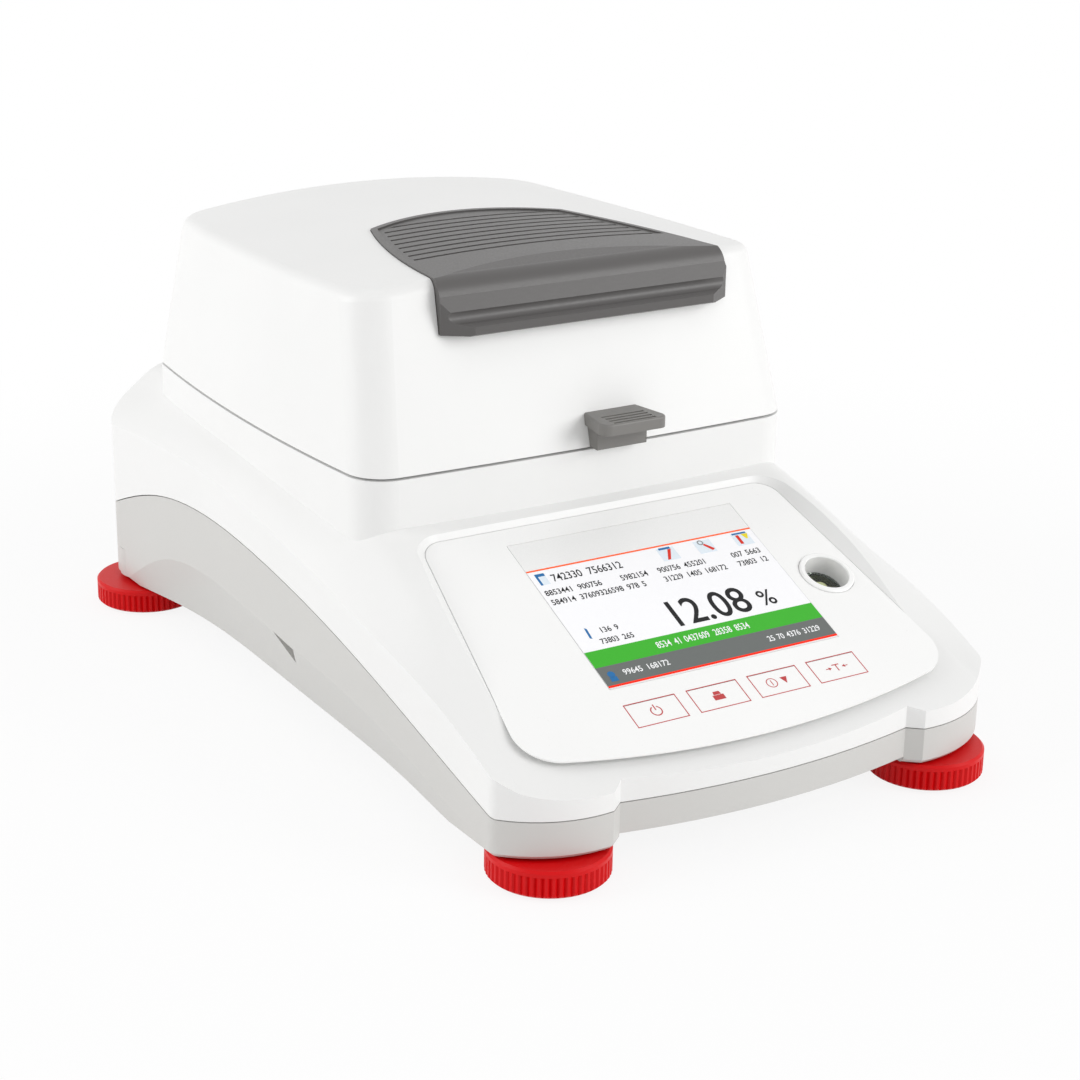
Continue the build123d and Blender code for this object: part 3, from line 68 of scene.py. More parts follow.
# Small print in millimetres: digits in each group, left edge, baseline, height, step
PICTURE_PRINT = (
    ((6, 7), -35.8, 51.7, 5.0, 2.2),
    ((7, 6), -42.0, 45.7, 3.7, 1.74),
    ((7,), -11.2, 45.7, 3.7, 1.74),
    ((6, 6), 4.4, 45.7, 3.7, 1.7),
    ((3, 4), 36.2, 45.7, 3.7, 1.74),
    ((6, 11), -42.0, 41.0, 3.7, 1.74),
    ((3, 1), -11.2, 41.0, 3.7, 1.74),
    ((5, 4, 6), 4.4, 41.0, 3.7, 1.7),
    ((5, 2), 36.2, 41.0, 3.7, 1.74),
    ((3, 1), -32.4, 24.4, 3.5, 1.7),
    ((5, 3), -34.8, 19.4, 3.5, 1.6),
)
BAR_PRINT = (
    ((4, 2, 7, 5, 4), -16.4, 12.1, 4.2, 1.6),
    ((5, 6), -34.7, 4.1, 3.6, 1.66),
    ((2, 2, 4, 5), 25.0, 4.1, 3.6, 1.55),
)

# Pale plates behind the signs, in millimetres
PLATE_LEFTS, PLATE_LOW, PLATE_HIGH, PLATE_WIDTH = (9.6, 25.4, 42.0), 50.6, 57.0, 7.2

# Keys on the panel in millimetres: first middle, step, edges, half width, outline
KEY_FIRST, KEY_PITCH, KEY_LOW, KEY_HIGH = -32.77, 24.92, -18.64, -8.64
KEY_HALF, KEY_LINE = 9.85, 0.34

# Bubble level: its target ring and its bubble, which both lie under the panel
TARGET_RADIUS, TARGET_LINE, TARGET_LIFT = 3.3, 0.3, -6.56 * MM
BUBBLE_RADIUS, BUBBLE_RISE, BUBBLE_LIFT = 2.3 * MM, 0.25 * MM, -6.3 * MM

# Studio in metres: the floor and where its glow fades, and the lamps
FLOOR_RADIUS, FADE_START, FADE_END = 6.0, 0.22, 0.5
LAMP_SIZE = 1.3
FRONT_LAMP, SIDE_LAMP, LAMP_TARGET = (1.2, -1.5, 0.9), (-1.6, 0.6, 0.9), (0, 0, 0.08)


def linear(code, alpha=1.0):
    """An sRGB hex colour as the linear colour that a shader takes."""
    parts = [int(code[i:i + 2], 16) / 255 for i in (0, 2, 4)]
    return (*[p / 12.92 if p <= 0.04045 else ((p + 0.055) / 1.055) ** 2.4 for p in parts], alpha)


def shade(colour, amount):
    """The same colour, lighter or darker by a share."""
    return (*[min(1.0, c * amount) for c in colour[:3]], 1.0)


def colour_property(name, description, code):
    return bpy.props.FloatVectorProperty(
        name=name, description=description, subtype="COLOR", size=4, min=0, max=1,
        default=linear(code),
    )


def length_property(name, description, millimetres):
    return bpy.props.FloatProperty(
        name=name, description=description, unit="LENGTH", subtype="DISTANCE",
        precision=5, default=millimetres * MM,
    )


class ANALYZER_PG_finishes(bpy.types.PropertyGroup):
    """Colours of the moulded, pressed and turned pieces"""

    shell_white: colour_property("Shell white", "Deck and lid mouldings", "f1f1f0")
    tray_grey: colour_property("Tray grey", "Lower housing", "d0cfcc")
    grille_grey: colour_property("Grille grey", "Louvred grille over the lid", "565453")
    handle_grey: colour_property("Handle grey", "Tab that lifts the lid", "7b7976")
    foot_red: colour_property("Foot red", "Knurled levelling knobs", "da040a")
    film_white: colour_property("Film white", "Printed film over the panel", "fbfbfa")
    print_red: colour_property("Print red", "Outlines and signs of the keys", "c23a3c")
    grain: length_property("Grain", "Spacing of the spark-eroded texture", 0.7)


class ANALYZER_PG_screen(bpy.types.PropertyGroup):
    """Sizes and colours of the panel's printed and lit content"""

    tilt: bpy.props.FloatProperty(
        name="Panel tilt", description="Slope of the control panel", subtype="ANGLE",
        default=math.radians(23.24),
    )
    origin_y: length_property("Panel Y", "Where the picture's lower edge lies", -124.6)
    origin_z: length_property("Panel Z", "Height of the picture's lower edge", 49.4)
    left: length_property("Left edge", "Left edge of the lit picture", -43.27)
    right: length_property("Right edge", "Right edge of the lit picture", 51.77)
    top: length_property("Top edge", "Line at the top of the lit picture", 58.7)
    bar_green: colour_property("Message green", "Message bar", "3fae30")
    bar_grey: colour_property("Status grey", "Status bar", "6f7371")
    line_red: colour_property("Line red", "Line under the picture", "fb2a0c")
    line_orange: colour_property("Line orange", "Line over the picture", "f4632a")
    ink: colour_property("Ink", "Digits and small print", "17181a")
    reading: bpy.props.StringProperty(
        name="Reading", description="Number on the screen", default="12.08"
    )


class ANALYZER_PG_stage(bpy.types.PropertyGroup):
    """Camera and studio"""

    azimuth: bpy.props.FloatProperty(
        name="Azimuth", description="Camera's turn from the front", subtype="ANGLE",
        default=math.radians(-31.72),
    )
    elevation: bpy.props.FloatProperty(
        name="Elevation", description="Camera's height angle", subtype="ANGLE",
        default=math.radians(19.85),
    )
    roll: bpy.props.FloatProperty(
        name="Roll", description="Camera's turn about its own axis", subtype="ANGLE",
        default=math.radians(0.95),
    )
    eye: bpy.props.FloatVectorProperty(
        name="Eye", description="Where the camera stands", subtype="TRANSLATION",
        default=(-0.43674, -0.71625, 0.35741),
    )
    lens: bpy.props.FloatProperty(
        name="Lens", description="Focal length on a 36 mm sensor", default=78.2
    )
    key_power: bpy.props.FloatProperty(name="Front light", description="Watts", default=18.2)
    side_power: bpy.props.FloatProperty(name="Side light", description="Watts", default=14.0)
    sky: bpy.props.FloatProperty(name="Sky", description="Strength of the even light", default=0.62)
    floor_near: bpy.props.FloatProperty(
        name="Floor glow", default=0.88,
        description="Share of plain white in the floor beside the object",
    )


def add(tree, kind, settings=None, links=None):
    """Adds a shader node, sets its options and sockets, and links the rest."""
    made = tree.nodes.new(kind)
    for key, value in (settings or {}).items():
        if isinstance(key, str) and hasattr(made, key):
            setattr(made, key, value)
        else:
            made.inputs[key].default_value = value
    for key, source in (links or {}).items():
        tree.links.new(source, made.inputs[key])
    return made


def new_material(name):
    """A cleared material with its tree, its surface shader and object coordinates."""
    material = bpy.data.materials.new(name)
    material.use_nodes = True
    tree = material.node_tree
    tree.nodes.clear()
    surface = add(tree, "ShaderNodeBsdfPrincipled")
    add(tree, "ShaderNodeOutputMaterial", links={"Surface": surface.outputs["BSDF"]})
    place = add(tree, "ShaderNodeTexCoord").outputs["Object"]
    return material, tree, surface, place


def ramp(tree, factor, low, high, start=0.3, end=0.7):
    """A two-colour ramp over a pattern."""
    made = add(tree, "ShaderNodeValToRGB", links={"Fac": factor})
    made.color_ramp.elements[0].position = start
    made.color_ramp.elements[1].position = end
    made.color_ramp.elements[0].color = low
    made.color_ramp.elements[1].color = high
    return made.outputs["Color"]


def moulded(
    name, colour, roughness=0.42, grain=0.7 * MM, depth=0.02 * MM, coat=0.0, mottle=0.985, shine=0.5
):
    """Injection-moulded ABS: an even colour with faint flow marks, and the fine
    grain of a spark-eroded mould that breaks the highlight. The real grain is about
    0.2 mm and is drawn coarser so that it shows."""
    material, tree, surface, place = new_material(name)
    flow = add(
        tree, "ShaderNodeTexNoise", {"Scale": 1 / (45 * MM), "Detail": 2.0}, {"Vector": place}
    )
    tint = ramp(tree, flow.outputs["Fac"], shade(colour, mottle), colour)
    tree.links.new(tint, surface.inputs["Base Color"])
    fine = add(
        tree, "ShaderNodeTexNoise", {"Scale": 1 / grain, "Detail": 3.0, "Roughness": 0.6},
        {"Vector": place},
    )
    worn = add(
        tree, "ShaderNodeMapRange",
        {"From Min": 0.3, "From Max": 0.7, "To Min": roughness - 0.05, "To Max": roughness + 0.05},
        {"Value": fine.outputs["Fac"]},
    )
    tree.links.new(worn.outputs["Result"], surface.inputs["Roughness"])
    bump = add(
        tree, "ShaderNodeBump", {"Strength": 0.35, "Distance": depth},
        {"Height": fine.outputs["Fac"]},
    )
    tree.links.new(bump.outputs["Normal"], surface.inputs["Normal"])
    surface.inputs["IOR"].default_value = 1.53
    surface.inputs["Specular IOR Level"].default_value = shine
    surface.inputs["Coat Weight"].default_value = coat
    surface.inputs["Coat Roughness"].default_value = 0.2
    return material


def printed(name, colour, roughness=0.35, glow=0.0, shine=0.5):
    """Screen-printed ink or a lit area: a thin even layer with a little tooth. Less
    shine keeps a lit colour as full as it is behind its window."""
    material, tree, surface, place = new_material(name)
    tooth = add(
        tree, "ShaderNodeTexNoise", {"Scale": 1 / (0.5 * MM), "Detail": 2.0}, {"Vector": place}
    )
    tint = ramp(tree, tooth.outputs["Fac"], shade(colour, 0.97), colour)
    tree.links.new(tint, surface.inputs["Base Color"])
    surface.inputs["Roughness"].default_value = roughness
    surface.inputs["Specular IOR Level"].default_value = shine
    if glow:
        tree.links.new(tint, surface.inputs["Emission Color"])
        surface.inputs["Emission Strength"].default_value = glow
    return material


def lit(name, colour, glow=0.0, shine=0.15):
    """One colour of the lit picture."""
    return printed(name, colour, 0.3, glow, shine)


def brushed(name, colour, roughness=0.3, along=(1, 0, 0)):
    """Drawn or milled metal: fine lines, 0.5 mm apart, that run along one axis."""
    material, tree, surface, place = new_material(name)
    squeeze = [0.04 if a else 1.0 for a in along]
    lines = add(tree, "ShaderNodeMapping", {"Scale": squeeze}, {"Vector": place})
    streaks = add(
        tree, "ShaderNodeTexNoise", {"Scale": 1 / (0.5 * MM), "Detail": 3.0},
        {"Vector": lines.outputs["Vector"]},
    )
    tint = ramp(tree, streaks.outputs["Fac"], shade(colour, 0.86), shade(colour, 1.06))
    tree.links.new(tint, surface.inputs["Base Color"])
    rough = add(
        tree, "ShaderNodeMapRange",
        {"From Min": 0.3, "From Max": 0.7, "To Min": roughness - 0.07, "To Max": roughness + 0.07},
        {"Value": streaks.outputs["Fac"]},
    )
    tree.links.new(rough.outputs["Result"], surface.inputs["Roughness"])
    bump = add(
        tree, "ShaderNodeBump", {"Strength": 0.15, "Distance": 0.01 * MM},
        {"Height": streaks.outputs["Fac"]},
    )
    tree.links.new(bump.outputs["Normal"], surface.inputs["Normal"])
    surface.inputs["Metallic"].default_value = 1.0
    return material


def spun(name, colour, centre, roughness):
    """Metal turned or pressed about an upright axis: faint tool marks in rings, 0.9 mm
    apart."""
    material, tree, surface, place = new_material(name)
    centred = add(
        tree, "ShaderNodeMapping", {"Location": (-centre[0], -centre[1], 0.0)}, {"Vector": place}
    )
    marks = add(
        tree, "ShaderNodeTexWave",
        {"wave_type": "RINGS", "rings_direction": "Z", "Scale": 1 / (0.9 * MM * 6.28),
         "Distortion": 0.6, "Detail": 2.0, "Detail Scale": 40.0},
        {"Vector": centred.outputs["Vector"]},
    )
    tint = ramp(tree, marks.outputs["Fac"], shade(colour, 0.93), shade(colour, 1.04), 0.0, 1.0)
    tree.links.new(tint, surface.inputs["Base Color"])
    rough = add(
        tree, "ShaderNodeMapRange", {"To Min": roughness - 0.05, "To Max": roughness + 0.05},
        {"Value": marks.outputs["Fac"]},
    )
    tree.links.new(rough.outputs["Result"], surface.inputs["Roughness"])
    bump = add(
        tree, "ShaderNodeBump", {"Strength": 0.12, "Distance": 0.02 * MM},
        {"Height": marks.outputs["Fac"]},
    )
    tree.links.new(bump.outputs["Normal"], surface.inputs["Normal"])
    surface.inputs["Metallic"].default_value = 1.0
    return material


def clear(name, colour, roughness=0.03):
    """Glass: clear and smooth, with a breath of unevenness in the reflection."""
    material, tree, surface, place = new_material(name)
    ripple = add(
        tree, "ShaderNodeTexNoise", {"Scale": 1 / (6 * MM), "Detail": 1.0}, {"Vector": place}
    )
    bump = add(
        tree, "ShaderNodeBump", {"Strength": 0.05, "Distance": 0.02 * MM},
        {"Height": ripple.outputs["Fac"]},
    )
    tree.links.new(bump.outputs["Normal"], surface.inputs["Normal"])
    surface.inputs["Base Color"].default_value = colour
    surface.inputs["Roughness"].default_value = roughness
    surface.inputs["IOR"].default_value = 1.47
    surface.inputs["Transmission Weight"].default_value = 1.0
    return material


def paint(material, *nodes):
    """Gives CAD nodes a material in place of their plain one."""
    for name in nodes:
        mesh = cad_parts[name].data
        mesh.materials.clear()
        mesh.materials.append(material)


def make_piece(name, bm, material, body):
    """Turns a bmesh into an object that rides on a body."""
    mesh = bpy.data.meshes.new(name)
    bmesh.ops.recalc_face_normals(bm, faces=bm.faces)
    bm.to_mesh(mesh)
    bm.free()
    mesh.materials.append(material)
    piece = bpy.data.objects.new(name, mesh)
    bpy.context.collection.objects.link(piece)
    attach(piece, body)
    return piece


def panel_matrix(settings, lift=0.0):
    """From panel coordinates, across, up the slope and out of it, to the row frame."""
    return (
        Matrix.Translation((0, settings.origin_y, settings.origin_z))
        @ Matrix.Rotation(settings.tilt, 4, "X")
        @ Matrix.Translation((0, 0, lift))
    )


def thicken(bm, faces, height):
    """Raises flat faces into a closed slab of printed ink."""
    grown = bmesh.ops.extrude_face_region(bm, geom=faces)
    verts = [g for g in grown["geom"] if isinstance(g, bmesh.types.BMVert)]
    bmesh.ops.translate(bm, verts=verts, vec=(0, 0, height))


def flat_box(bm, left, low, right, high, level=0):
    """A printed rectangle, in millimetres on the panel."""
    place = Matrix.Translation(((left + right) / 2 * MM, (low + high) / 2 * MM, level * INK_STEP))
    scale = Matrix.Diagonal(((right - left) * MM, (high - low) * MM, 1, 1))
    made = bmesh.ops.create_grid(bm, x_segments=1, y_segments=1, size=0.5, matrix=place @ scale)
    faces = list({f for v in made["verts"] for f in v.link_faces})
    thicken(bm, faces, INK_THICKNESS)


def flat_polygon(bm, points, level=0):
    """A printed shape with straight sides, in millimetres on the panel."""
    verts = [bm.verts.new((x * MM, y * MM, level * INK_STEP)) for x, y in points]
    thicken(bm, [bm.faces.new(verts)], INK_THICKNESS)


def flat_arc(bm, x, y, radius, width, start=0, sweep=FULL_TURN, level=0):
    """A printed arc or ring, in millimetres on the panel."""
    inner = bm.verts.new(((radius - width / 2) * MM, 0, 0))
    outer = bm.verts.new(((radius + width / 2) * MM, 0, 0))
    edge = bm.edges.new((inner, outer))
    before = set(bm.faces)
    turn = Matrix.Rotation(start, 3, "Z")
    bmesh.ops.rotate(bm, verts=[inner, outer], cent=(0, 0, 0), matrix=turn)
    bmesh.ops.spin(
        bm, geom=[inner, outer, edge], cent=(0, 0, 0), axis=(0, 0, 1), angle=sweep,
        steps=ARC_STEPS, use_merge=sweep == FULL_TURN,
    )
    faces = [f for f in bm.faces if f not in before]
    verts = list({v for f in faces for v in f.verts})
    bmesh.ops.translate(bm, verts=verts, vec=(x * MM, y * MM, level * INK_STEP))
    thicken(bm, faces, INK_THICKNESS)


def lettering(bm, text, x, y, height, level=0, spread=1.0, weight=0.0, smooth=8):
    """Plain numbers and signs, in millimetres on the panel."""
    curve = bpy.data.curves.new("lettering", "FONT")
    curve.body = text
    curve.size = height * MM
    curve.offset = weight * MM
    curve.resolution_u = smooth
    curve.extrude = INK_THICKNESS / 2
    holder = bpy.data.objects.new("lettering", curve)
    bpy.context.collection.objects.link(holder)
    bpy.context.view_layer.update()
    graph = bpy.context.evaluated_depsgraph_get()
    mesh = bpy.data.meshes.new_from_object(holder.evaluated_get(graph))
    place = Matrix.Translation((x * MM, y * MM, level * INK_STEP + INK_THICKNESS / 2))
    mesh.transform(place @ Matrix.Diagonal((spread, 1, 1, 1)))
    bm.from_mesh(mesh)
    bpy.data.objects.remove(holder)
    bpy.data.meshes.remove(mesh)


def figures(bm, groups, x, low, height, step, level):
    """A line of small print as groups of plain digits, each digit a step wide. The
    digits follow from the line's place, so they are the same in each run."""
    digit = int(low - x) % 10
    for count in groups:
        text = ""
        for place in range(count):
            digit = (3 * digit + 7 * place + count) % 10
            text += str(digit)
        spread = step / (DIGIT_WIDTH * height)
        lettering(bm, text, x, low, height, level, spread, weight=0.03, smooth=3)
        x += step * (count + 0.6)


class ANALYZER_OT_housings(bpy.types.Operator):
    """Finish the white deck and lid mouldings and the grey tray"""

    bl_idname = "analyzer.housings"
    bl_label = "Housings"

    def execute(self, context):
        looks = context.scene.analyzer_finishes
        white = moulded("moulded white ABS", tuple(looks.shell_white), 0.4, looks.grain)
        paint(white, "upper_housing", "lid_shell")
        grey = moulded("moulded grey ABS", tuple(looks.tray_grey), 0.45, looks.grain)
        paint(grey, "lower_housing")
        return {"FINISHED"}


class ANALYZER_OT_lid_trim(bpy.types.Operator):
    """Finish the dark grille and the handle on the lid"""

    bl_idname = "analyzer.lid_trim"
    bl_label = "Lid trim"

    def execute(self, context):
        looks = context.scene.analyzer_finishes
        dark = moulded("moulded dark grey PC", tuple(looks.grille_grey), 0.42, looks.grain)
        paint(dark, "lid_grille")
        mid = moulded("moulded mid grey PC", tuple(looks.handle_grey), 0.45, looks.grain)
        paint(mid, "lid_handle")
        return {"FINISHED"}


class ANALYZER_OT_feet(bpy.types.Operator):
    """Finish the red knobs, the rubber pads and bumpers, and the brass inserts"""

    bl_idname = "analyzer.feet"
    bl_label = "Feet"

    def execute(self, context):
        looks = context.scene.analyzer_finishes
        red = moulded(
            "moulded red ABS", tuple(looks.foot_red), 0.4, looks.grain, mottle=0.94, shine=0.2
        )
        rubber = moulded("moulded black rubber", linear("232323"), 0.7, looks.grain)
        for corner in ("fl", "fr", "bl", "br"):
            paint(red, "foot_knob_" + corner)
            paint(rubber, "foot_pad_" + corner)
        paint(rubber, "lid_bumpers")
        paint(brushed("turned brass", linear("c9a24e"), 0.3, (0, 0, 1)), "foot_inserts")
        return {"FINISHED"}


class ANALYZER_OT_panel(bpy.types.Operator):
    """Finish the printed film, the keys, the display and its window"""

    bl_idname = "analyzer.panel"
    bl_label = "Panel"

    def execute(self, context):
        looks = context.scene.analyzer_finishes
        film = moulded(
            "printed polyester film", tuple(looks.film_white), 0.32, looks.grain, coat=0.3
        )
        paint(film, "panel_overlay", "key_power", "key_print", "key_start", "key_tare")
        paint(printed("clear window over the display", linear("f6f6f5"), 0.2), "display_window")
        paint(brushed("pressed steel can", linear("a9a9a9")), "display_module")
        return {"FINISHED"}


class ANALYZER_OT_picture(bpy.types.Operator):
    """Draw the lit picture on the screen: bars, lines, a reading, small print and signs"""

    bl_idname = "analyzer.picture"
    bl_label = "Screen picture"

    def draw_layer(self, name, settings, material, draw):
        bm = bmesh.new()
        draw(bm)
        bmesh.ops.transform(bm, matrix=panel_matrix(settings, INK_STEP), verts=bm.verts)
        make_piece(name, bm, material, "base")

    def execute(self, context):
        view = context.scene.analyzer_screen
        ink = lit("lit black", tuple(view.ink), shine=0.2)
        pale = lit("lit white", linear("f3f4f5"), 0.12, 0.2)
        self.draw_grounds(view)
        self.draw_layer("screen_reading", view, ink, self.reading)
        self.draw_layer("screen_rows", view, ink, self.picture_print)
        self.draw_layer("screen_bar_rows", view, pale, self.bar_print)
        plate = lit("lit pale blue", linear("dfe9f1"), 0.1, 0.2)
        self.draw_layer("screen_icon_plates", view, plate, self.icon_plates)
        for colour, code, draw in (
            ("red", "d8321f", self.red_signs),
            ("blue", "2c6fa8", self.blue_signs),
            ("yellow", "e8d431", self.yellow_signs),
        ):
            sign = lit("lit sign " + colour, linear(code), 0.1)
            self.draw_layer(f"screen_{colour}_signs", view, sign, draw)
        sign = lit("lit sign grey", linear("8b8f92"), shine=0.5)
        self.draw_layer("screen_grey_signs", view, sign, self.grey_signs)
        return {"FINISHED"}

    def draw_grounds(self, view):
        """The lit ground, the two bars and the two thin lines."""
        top = view.top / MM
        for name, material, low, high, level in (
            ("backlight", lit("lit picture", linear("f6f6f8"), 0.1, 0.2), 0, top, 0),
            ("message_bar", lit("lit green", tuple(view.bar_green), 0.15),
             STATUS_TOP, MESSAGE_TOP, ON_PICTURE),
            ("status_bar", lit("lit grey", tuple(view.bar_grey), 0.03),
             LINE_TOP, STATUS_TOP, ON_PICTURE),
            ("low_line", lit("lit red", tuple(view.line_red), 0.2), 0, LINE_TOP, ON_PICTURE),
            ("top_line", lit("lit orange", tuple(view.line_orange), 0.2),
             top - TOP_LINE, top, ON_PICTURE),
        ):
            self.draw_layer(
                "screen_" + name, view, material,
                lambda bm: flat_box(bm, view.left / MM, low, view.right / MM, high, level),
            )

    def reading(self, bm):
        number = bpy.context.scene.analyzer_screen.reading
        lettering(bm, number, -5.6, 19.7, 17.6, ON_PICTURE, spread=0.9, weight=0.12)
        lettering(bm, "%", 33.4, 20.6, 10.4, ON_PICTURE, spread=0.95, weight=0.06)

    def picture_print(self, bm):
        for line in PICTURE_PRINT:
            figures(bm, *line, ON_PICTURE)

    def bar_print(self, bm):
        for line in BAR_PRINT:
            figures(bm, *line, ON_BAR)

    def icon_plates(self, bm):
        for left in PLATE_LEFTS:
            flat_box(bm, left, PLATE_LOW, left + PLATE_WIDTH, PLATE_HIGH, ON_PICTURE)
        flat_box(bm, -40.3, 51.0, -37.4, 55.2, ON_PICTURE)

    def red_signs(self, bm):
        """Two slanted strokes and an upright one."""
        flat_polygon(bm, ((14.0, 56.0), (15.4, 56.0), (12.6, 51.0), (11.4, 51.0)), ON_BAR)
        flat_polygon(bm, ((28.6, 54.6), (29.4, 55.2), (32.2, 52.0), (31.0, 51.3)), ON_BAR)
        flat_box(bm, 43.6, 51.4, 44.9, 56.0, ON_BAR)

    def blue_signs(self, bm):
        """Bars at the signs' tops, a slanted stroke, and a head over shoulders."""
        flat_box(bm, -41.2, 55.2, -37.4, 56.6, ON_PICTURE)
        flat_box(bm, -41.2, 51.0, -40.3, 55.2, ON_PICTURE)
        flat_box(bm, 10.6, 56.2, 15.4, 57.2, ON_BAR)
        flat_box(bm, 42.6, 56.4, 48.6, 57.2, ON_BAR)
        stroke = ((-37.2, 28.0), (-36.4, 27.4), (-36.8, 22.6), (-37.6, 23.0))
        flat_polygon(bm, stroke, ON_PICTURE)
        flat_arc(bm, -39.3, 5.6, 0.7, 1.4, level=ON_BAR)
        flat_box(bm, -40.7, 2.4, -37.9, 4.4, ON_BAR)

    def yellow_signs(self, bm):
        """A cup that narrows downwards."""
        flat_polygon(bm, ((46.2, 56.2), (49.0, 56.2), (47.9, 53.6), (47.3, 53.6)), ON_BAR)

    def grey_signs(self, bm):
        """A ring."""
        flat_arc(bm, 28.2, 56.0, 1.0, 0.5, level=ON_BAR)


class ANALYZER_OT_legends(bpy.types.Operator):
    """Print each key's outline and its sign"""

    bl_idname = "analyzer.legends"
    bl_label = "Key legends"

    def execute(self, context):
        view = context.scene.analyzer_screen
        ink = printed("printed red ink", tuple(context.scene.analyzer_finishes.print_red), 0.4)
        lift = panel_matrix(view, KEY_INK_LIFT)
        outlines = bmesh.new()
        signs = (self.power_sign, self.print_sign, self.start_sign, self.tare_sign)
        names = ("power", "print", "start", "tare")
        for i, (name, sign) in enumerate(zip(names, signs)):
            x = KEY_FIRST + KEY_PITCH * i
            self.outline(outlines, x - KEY_HALF, KEY_LOW, x + KEY_HALF, KEY_HIGH)
            bm = bmesh.new()
            sign(bm, x, (KEY_LOW + KEY_HIGH) / 2)
            bmesh.ops.transform(bm, matrix=lift, verts=bm.verts)
            make_piece("legend_" + name, bm, ink, "key_" + name)
        bmesh.ops.transform(outlines, matrix=lift, verts=outlines.verts)
        make_piece("key_outlines", outlines, ink, "base")
        return {"FINISHED"}

    def outline(self, bm, left, low, right, high):
        """Four printed lines around a key."""
        flat_box(bm, left - KEY_LINE, low - KEY_LINE, right + KEY_LINE, low)
        flat_box(bm, left - KEY_LINE, high, right + KEY_LINE, high + KEY_LINE)
        flat_box(bm, left - KEY_LINE, low, left, high)
        flat_box(bm, right, low, right + KEY_LINE, high)

    def power_sign(self, bm, x, y):
        """An open ring with a bar in its gap."""
        flat_arc(bm, x, y, 2.0, 0.42, math.radians(115), math.radians(310))
        flat_box(bm, x - 0.2, y + 0.4, x + 0.2, y + 2.9)

    def print_sign(self, bm, x, y):
        """A printer with its paper."""
        flat_box(bm, x - 2.2, y - 1.7, x + 2.2, y + 0.5)
        low, high = y + 0.7, y + 2.1
        flat_polygon(bm, ((x - 1.5, low), (x + 1.5, low), (x + 1.2, high), (x - 1.2, high)))

    def start_sign(self, bm, x, y):
        """A ring around a bar, and an arrowhead that points down."""
        flat_arc(bm, x - 2.8, y, 2.0, 0.3)
        flat_box(bm, x - 2.95, y - 1.2, x - 2.65, y + 1.2)
        flat_polygon(bm, ((x + 1.3, y + 1.5), (x + 4.1, y + 1.5), (x + 2.7, y - 1.5)))

    def tare_sign(self, bm, x, y):
        """A T between two arrows that point at it."""
        flat_box(bm, x - 1.5, y + 1.1, x + 1.5, y + 1.5)
        flat_box(bm, x - 0.2, y - 1.6, x + 0.2, y + 1.1)
        for side in (-1, 1):
            flat_box(bm, x + side * 3.9 - 0.7, y - 0.15, x + side * 3.9 + 0.7, y + 0.15)
            tip = ((x + side * 3.4, y + 0.7), (x + side * 2.2, y), (x + side * 3.4, y - 0.7))
            flat_polygon(bm, tip[::side])


class ANALYZER_OT_level(bpy.types.Operator):
    """Finish the bubble level"""

    bl_idname = "analyzer.level"
    bl_label = "Level"

    def execute(self, context):
        looks = context.scene.analyzer_finishes
        ring = moulded(
            "polished white ABS", tuple(looks.film_white), 0.22, looks.grain, 0.005 * MM
        )
        paint(ring, "level_ring")
        paint(clear("blown glass vial", linear("e8f0e8")), "level_vial", "level_lens")
        liquid = moulded(
            "tinted level liquid", linear("5c6040"), 0.12, looks.grain, 0.001 * MM
        )
        paint(liquid, "level_liquid")
        view = context.scene.analyzer_screen
        low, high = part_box("level_lens")
        middle = panel_matrix(view).inverted() @ ((Vector(low) + Vector(high)) / 2)
        self.draw_target(view, middle)
        self.draw_bubble(view, middle)
        return {"FINISHED"}

    def draw_target(self, view, middle):
        bm = bmesh.new()
        flat_arc(bm, middle.x / MM, middle.y / MM, TARGET_RADIUS, TARGET_LINE)
        bmesh.ops.transform(bm, matrix=panel_matrix(view, TARGET_LIFT), verts=bm.verts)
        ink = printed("level target ink", linear("1d1d1a"), 0.3)
        make_piece("level_target", bm, ink, "base")

    def draw_bubble(self, view, middle):
        bm = bmesh.new()
        bmesh.ops.create_uvsphere(bm, u_segments=32, v_segments=16, radius=1)
        place = Matrix.Translation((middle.x, middle.y, BUBBLE_LIFT))
        shape = Matrix.Diagonal((BUBBLE_RADIUS, BUBBLE_RADIUS, BUBBLE_RISE, 1))
        bmesh.ops.transform(bm, matrix=panel_matrix(view) @ place @ shape, verts=bm.verts)
        air = printed("air bubble", linear("c9cf9e"), 0.08)
        make_piece("level_bubble", bm, air, "base")


def upright_axis(low, high):
    """Where the upright axis of a round node stands, from the corners of its box."""
    return (low[0] + high[0]) / 2, (low[1] + high[1]) / 2


class ANALYZER_OT_chamber(bpy.types.Operator):
    """Finish the heating chamber, its shields and the sample pan"""

    bl_idname = "analyzer.chamber"
    bl_label = "Chamber"

    def execute(self, context):
        low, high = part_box("sample_pan")
        centre = upright_axis(low, high)
        tub = spun("drawn stainless steel", linear("b4b3b0"), centre, 0.3)
        paint(tub, "chamber_tub", "heat_shield")
        paint(spun("rolled stainless ring", linear("b9b8b5"), centre, 0.25), "draft_shield")
        stamped = brushed("stamped stainless steel", linear("bdbcb9"), 0.28, (0, 1, 0))
        paint(stamped, "pan_support", "pan_handler")
        paint(spun("pressed aluminium foil dish", linear("d6d6d5"), centre, 0.32), "sample_pan")
        return {"FINISHED"}


